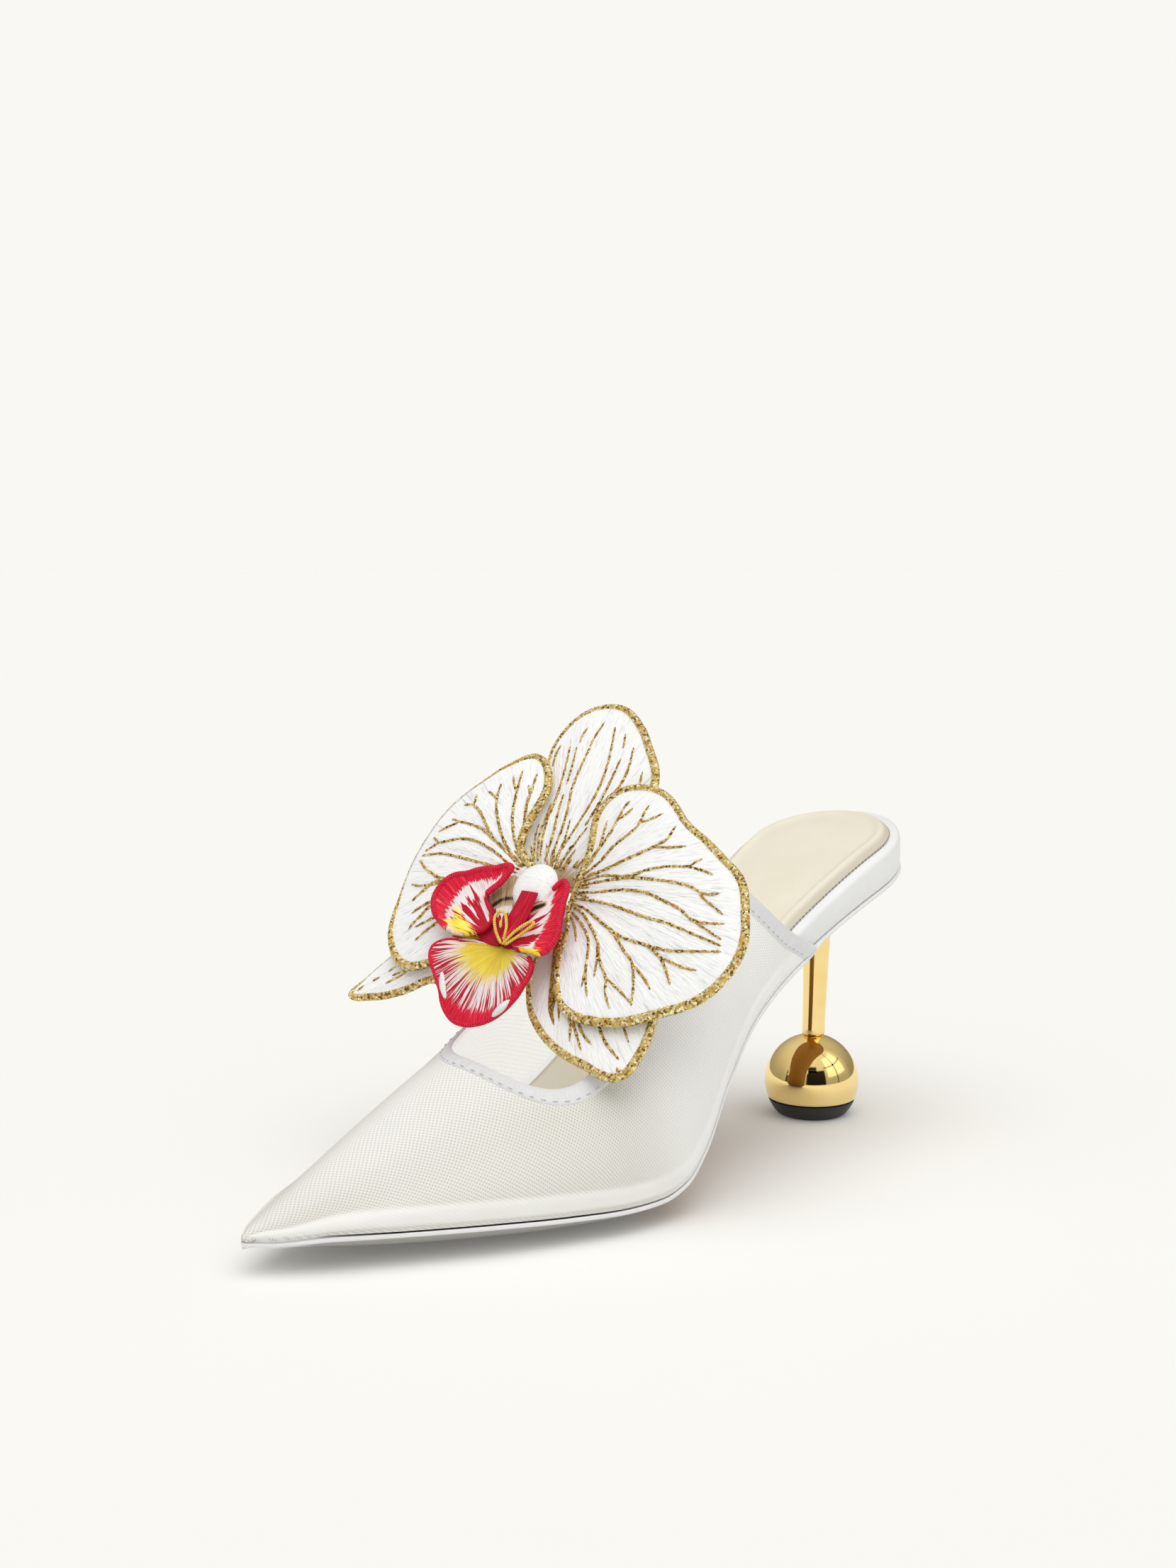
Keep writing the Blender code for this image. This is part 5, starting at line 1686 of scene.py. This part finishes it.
hollowLook = {
    "from": -12.0, "to": 176.0, "start": 0.6, "level": 10.3, "dip": 1.3, "dipRun": (0.1, 0.6), "far": 1.7,
    "farRun": (0.65, 1.0), "thick": 0.8, "columns": 150, "rows": 60, "cloth": (62.0, 16.0),
    "reach": [(-12, 8.0), (20, 10.0), (50, 15.0), (62, 17.5), (84, 17.5), (100, 22.0), (116, 22.0),
              (130, 17.0), (176, 17.0)],
}


def makeHollow():  # the stitched floor between the lobes, brown towards the column: brown threads and painted shade, with a painted dark slit
    first, last, start = hollowLook["from"], hollowLook["to"], hollowLook["start"]
    wide, high = hollowLook["cloth"]

    def where(s, t):
        heading = first + (last - first) * s
        a = math.radians(heading)
        d = start + (tableAt(hollowLook["reach"], heading) - start) * t
        return lipLook["throat"][0] + d * math.cos(a), lipLook["throat"][1] + d * math.sin(a)

    def place(s, t):
        level = hollowLook["level"] - hollowLook["dip"] * ease(*hollowLook["dipRun"], t)
        return lipAt(*where(s, t), level - hollowLook["far"] * ease(*hollowLook["farRun"], t))

    bm = newSilkSheet()
    grid = rollGrid(bm, hollowLook["columns"], hollowLook["rows"], place, lambda s, t: (s * wide, t * high))
    placed = {v: where(*spot) for v, spot in grid.items()}
    paintLip(bm, placed, lambda spot: spot, silkTraits)
    paintSlitShade(bm, placed, lambda spot: spot, slitShade["onHollow"])
    bmesh.ops.recalc_face_normals(bm, faces=bm.faces)
    patch = addPiece("lipHollow", bm, redSilk, (), 80)
    giveWall(patch, hollowLook["thick"])


callusLook = {
    "radius": 0.42, "low": 12.3, "high": 13.9, "riseRun": (-18.5, -11.0), "step": 0.4,
    "sides": 8, "ridge": 0.16, "pitch": 0.8,
    "loops": [
        [(-8.6, -18.2), (-11.2, -15.4), (-13.2, -12.3), (-13.8, -10.1), (-12.9, -8.7), (-11.2, -9.0),
         (-9.9, -10.9), (-8.9, -13.4), (-8.4, -17.2)],
        [(-11.6, -10.9), (-11.2, -12.2), (-10.7, -13.6)],
        [(-8.4, -18.4), (-6.4, -14.9), (-4.2, -12.2), (-2.2, -10.8), (-0.9, -11.0), (-1.9, -12.6),
         (-4.2, -15.2), (-7.6, -18.5)],
    ],
}


def makeCallus():
    bm = bmesh.new()
    low, high = callusLook["low"], callusLook["high"]
    for loop in callusLook["loops"]:
        path = []
        for p in smoothPath(loop, callusLook["step"]):
            path.append(lipAt(p.x, p.y, low + (high - low) * ease(*callusLook["riseRun"], p.y)))
        addCord(bm, path, callusLook["radius"], faceDir, callusLook["sides"], False,
                callusLook["ridge"], callusLook["pitch"])
    closeUp(bm)
    addPiece("callusLoops", bm, yellowThread)


for lobe in lobes:
    makeLobe(lobe)
makeLipRims()
makeSlits()
makeColumn()
makeTongue()
makeHollow()
makeCallus()

# Studio: pale floor, soft dome of light and the camera
studioLook = {
    "yaw": 46.0, "pitch": 6.2066, "cameraAt": (0.4929, 0.3794, 0.1700), "focalPixels": 2867.0,
    "longSide": 2212, "sensor": 36.0, "clip": (0.01, 100.0), "backdrop": (0.947, 0.939, 0.896),
    "floor": (0.849, 0.847, 0.827), "floorGlow": 0.09, "floorSize": 40.0, "floorDrop": 0.00005,
}
# panels in degrees, seen from the shoe: left, right, low, high, soft edge
lightLook = {
    "strength": 0.6596, "dome": (0.60, 0.64), "domeFront": (0.6, 1.4), "key": (0.05, 0.20, 0.96),
    "keyGlow": 2.8, "keyRun": (0.65, 0.98), "room": (0.665, 1.353),
    "domeRun": (-0.2, 0.9), "frontRun": (-0.8, 0.8), "roomRun": (0.0, 0.9),
    "window": (38, 92, 16, 60, 2.5), "windowGlow": 1.07,
    "bars": [(62, 66, 0, 70, 0.8), (30, 100, 37, 40, 0.8)], "barShade": 0.6,
    "tall": (-74, -26, -30, 80, 1.5), "tallShade": 0.82,
    "stand": [(-19, 30, -30, 34, 2.0), (-19, 8, 34, 44, 3.0)], "standShade": 0.97,
    "rightSide": (104, 178, -5, 75, 9.0), "rightShade": 0.3,
    "leftSide": (-178, -84, -5, 75, 9.0), "leftShade": 0.13,
    "softTint": (1.0, 0.994, 0.972), "mirrorTint": (1.0, 0.95, 0.84),
}


def makeFloor():
    bm = bmesh.new()
    bmesh.ops.create_grid(bm, x_segments=8, y_segments=8, size=studioLook["floorSize"])
    bmesh.ops.translate(bm, verts=bm.verts, vec=(0.0, 0.0, -studioLook["floorDrop"]))
    finish, tree, shader = newFinish("paleFloor", 0.9, shine=0.0)
    clouds = speckle(tree, objectPlace(tree), 3.0, 2.0)
    pale = studioLook["floor"]
    paint(tree, shader, ramp(tree, clouds, [(0.2, tuple(c * 0.995 for c in pale)), (0.8, pale)]))
    letGlow(shader, studioLook["backdrop"], studioLook["floorGlow"] / studioLook["backdrop"][0])
    mesh = bpy.data.meshes.new("floor")
    bm.to_mesh(mesh)
    bm.free()
    mesh.materials.append(finish)
    floor = bpy.data.objects.new("floor", mesh)
    bpy.context.scene.collection.objects.link(floor)


def makeLight():
    world = bpy.data.worlds.new("studio")
    bpy.context.scene.world = world
    world.use_nodes = True
    tree = world.node_tree
    yaw = math.radians(studioLook["yaw"])
    toCamera, toRight = (math.sin(yaw), math.cos(yaw), 0.0), (-math.cos(yaw), math.sin(yaw), 0.0)
    aim = addNode(tree, "TexCoord").outputs["Generated"]

    def towards(direction):
        made = addNode(tree, "VectorMath", operation="DOT_PRODUCT")
        feed(tree, made.inputs[0], aim)
        feed(tree, made.inputs[1], direction)
        return made.outputs["Value"]

    up = towards((0.0, 0.0, 1.0))
    azimuth = sums(tree, "ARCTAN2", towards(toRight), towards(toCamera))
    height = sums(tree, "ARCSINE", up)

    def between(value, low, high, soft):
        low, high, soft = math.radians(low), math.radians(high), math.radians(soft)
        rising = spread(tree, value, low - soft, low + soft)
        return times(tree, rising, spread(tree, value, high + soft, high - soft))

    def panel(left, right, low, high, soft):
        return times(tree, between(azimuth, left, right, soft), between(height, low, high, soft))

    def shaded(name, shade):
        return times(tree, panel(*lightLook[name]), lightLook[shade])

    def pair(name):
        first, second = lightLook[name]
        return plus(tree, panel(*first), panel(*second))

    dome = spread(tree, up, *lightLook["domeRun"], *lightLook["dome"])
    front = spread(tree, towards(toCamera), *lightLook["frontRun"], *lightLook["domeFront"])
    dome = times(tree, dome, front)
    right, ahead, above = lightLook["key"]
    key = Vector(toRight) * right + Vector(toCamera) * ahead + Vector((0, 0, above))
    lobe = spread(tree, towards(tuple(key.normalized())), *lightLook["keyRun"], 0.0, lightLook["keyGlow"])
    soft = plus(tree, dome, lobe)
    room = spread(tree, up, *lightLook["roomRun"], *lightLook["room"])
    bright = plus(tree, room, shaded("window", "windowGlow"))
    bright = times(tree, bright, oneLess(tree, times(tree, pair("bars"), lightLook["barShade"])))
    tall = oneLess(tree, shaded("tall", "tallShade"))
    dark = oneLess(tree, times(tree, pair("stand"), lightLook["standShade"]))
    dim = oneLess(tree, plus(tree, shaded("rightSide", "rightShade"), shaded("leftSide", "leftShade")))
    mirrored = times(tree, times(tree, bright, dim), times(tree, dark, tall))
    paths = addNode(tree, "LightPath").outputs

    def glow(amount, tint):
        made = blendColour(tree, times(tree, amount, lightLook["strength"]), (0.0, 0.0, 0.0), tint)
        made.node.clamp_factor = False
        return made

    gloss = glow(mirrored, lightLook["mirrorTint"])
    light = blendColour(tree, paths["Is Glossy Ray"], glow(soft, lightLook["softTint"]), gloss)
    sky = blendColour(tree, paths["Is Camera Ray"], light, studioLook["backdrop"])
    feed(tree, tree.nodes["Background"].inputs["Color"], sky)


def makeCamera():
    yaw, pitch = math.radians(studioLook["yaw"]), math.radians(studioLook["pitch"])
    back = Vector((math.sin(yaw) * math.cos(pitch), math.cos(yaw) * math.cos(pitch), math.sin(pitch)))
    right = Vector((-math.cos(yaw), math.sin(yaw), 0.0))
    stand = Matrix((right, back.cross(right), back)).transposed().to_4x4()
    stand.translation = Vector(studioLook["cameraAt"])
    lens = bpy.data.cameras.new("photoCamera")
    lens.sensor_width = studioLook["sensor"]
    lens.lens = studioLook["focalPixels"] * studioLook["sensor"] / studioLook["longSide"]
    lens.clip_start, lens.clip_end = studioLook["clip"]
    camera = bpy.data.objects.new("photoCamera", lens)
    camera.matrix_world = stand
    bpy.context.scene.collection.objects.link(camera)
    bpy.context.scene.camera = camera


makeFloor()
makeLight()
makeCamera()
bpy.context.scene.view_settings.view_transform = "Standard"
print("studio ready")

bpy.context.view_layer.update()
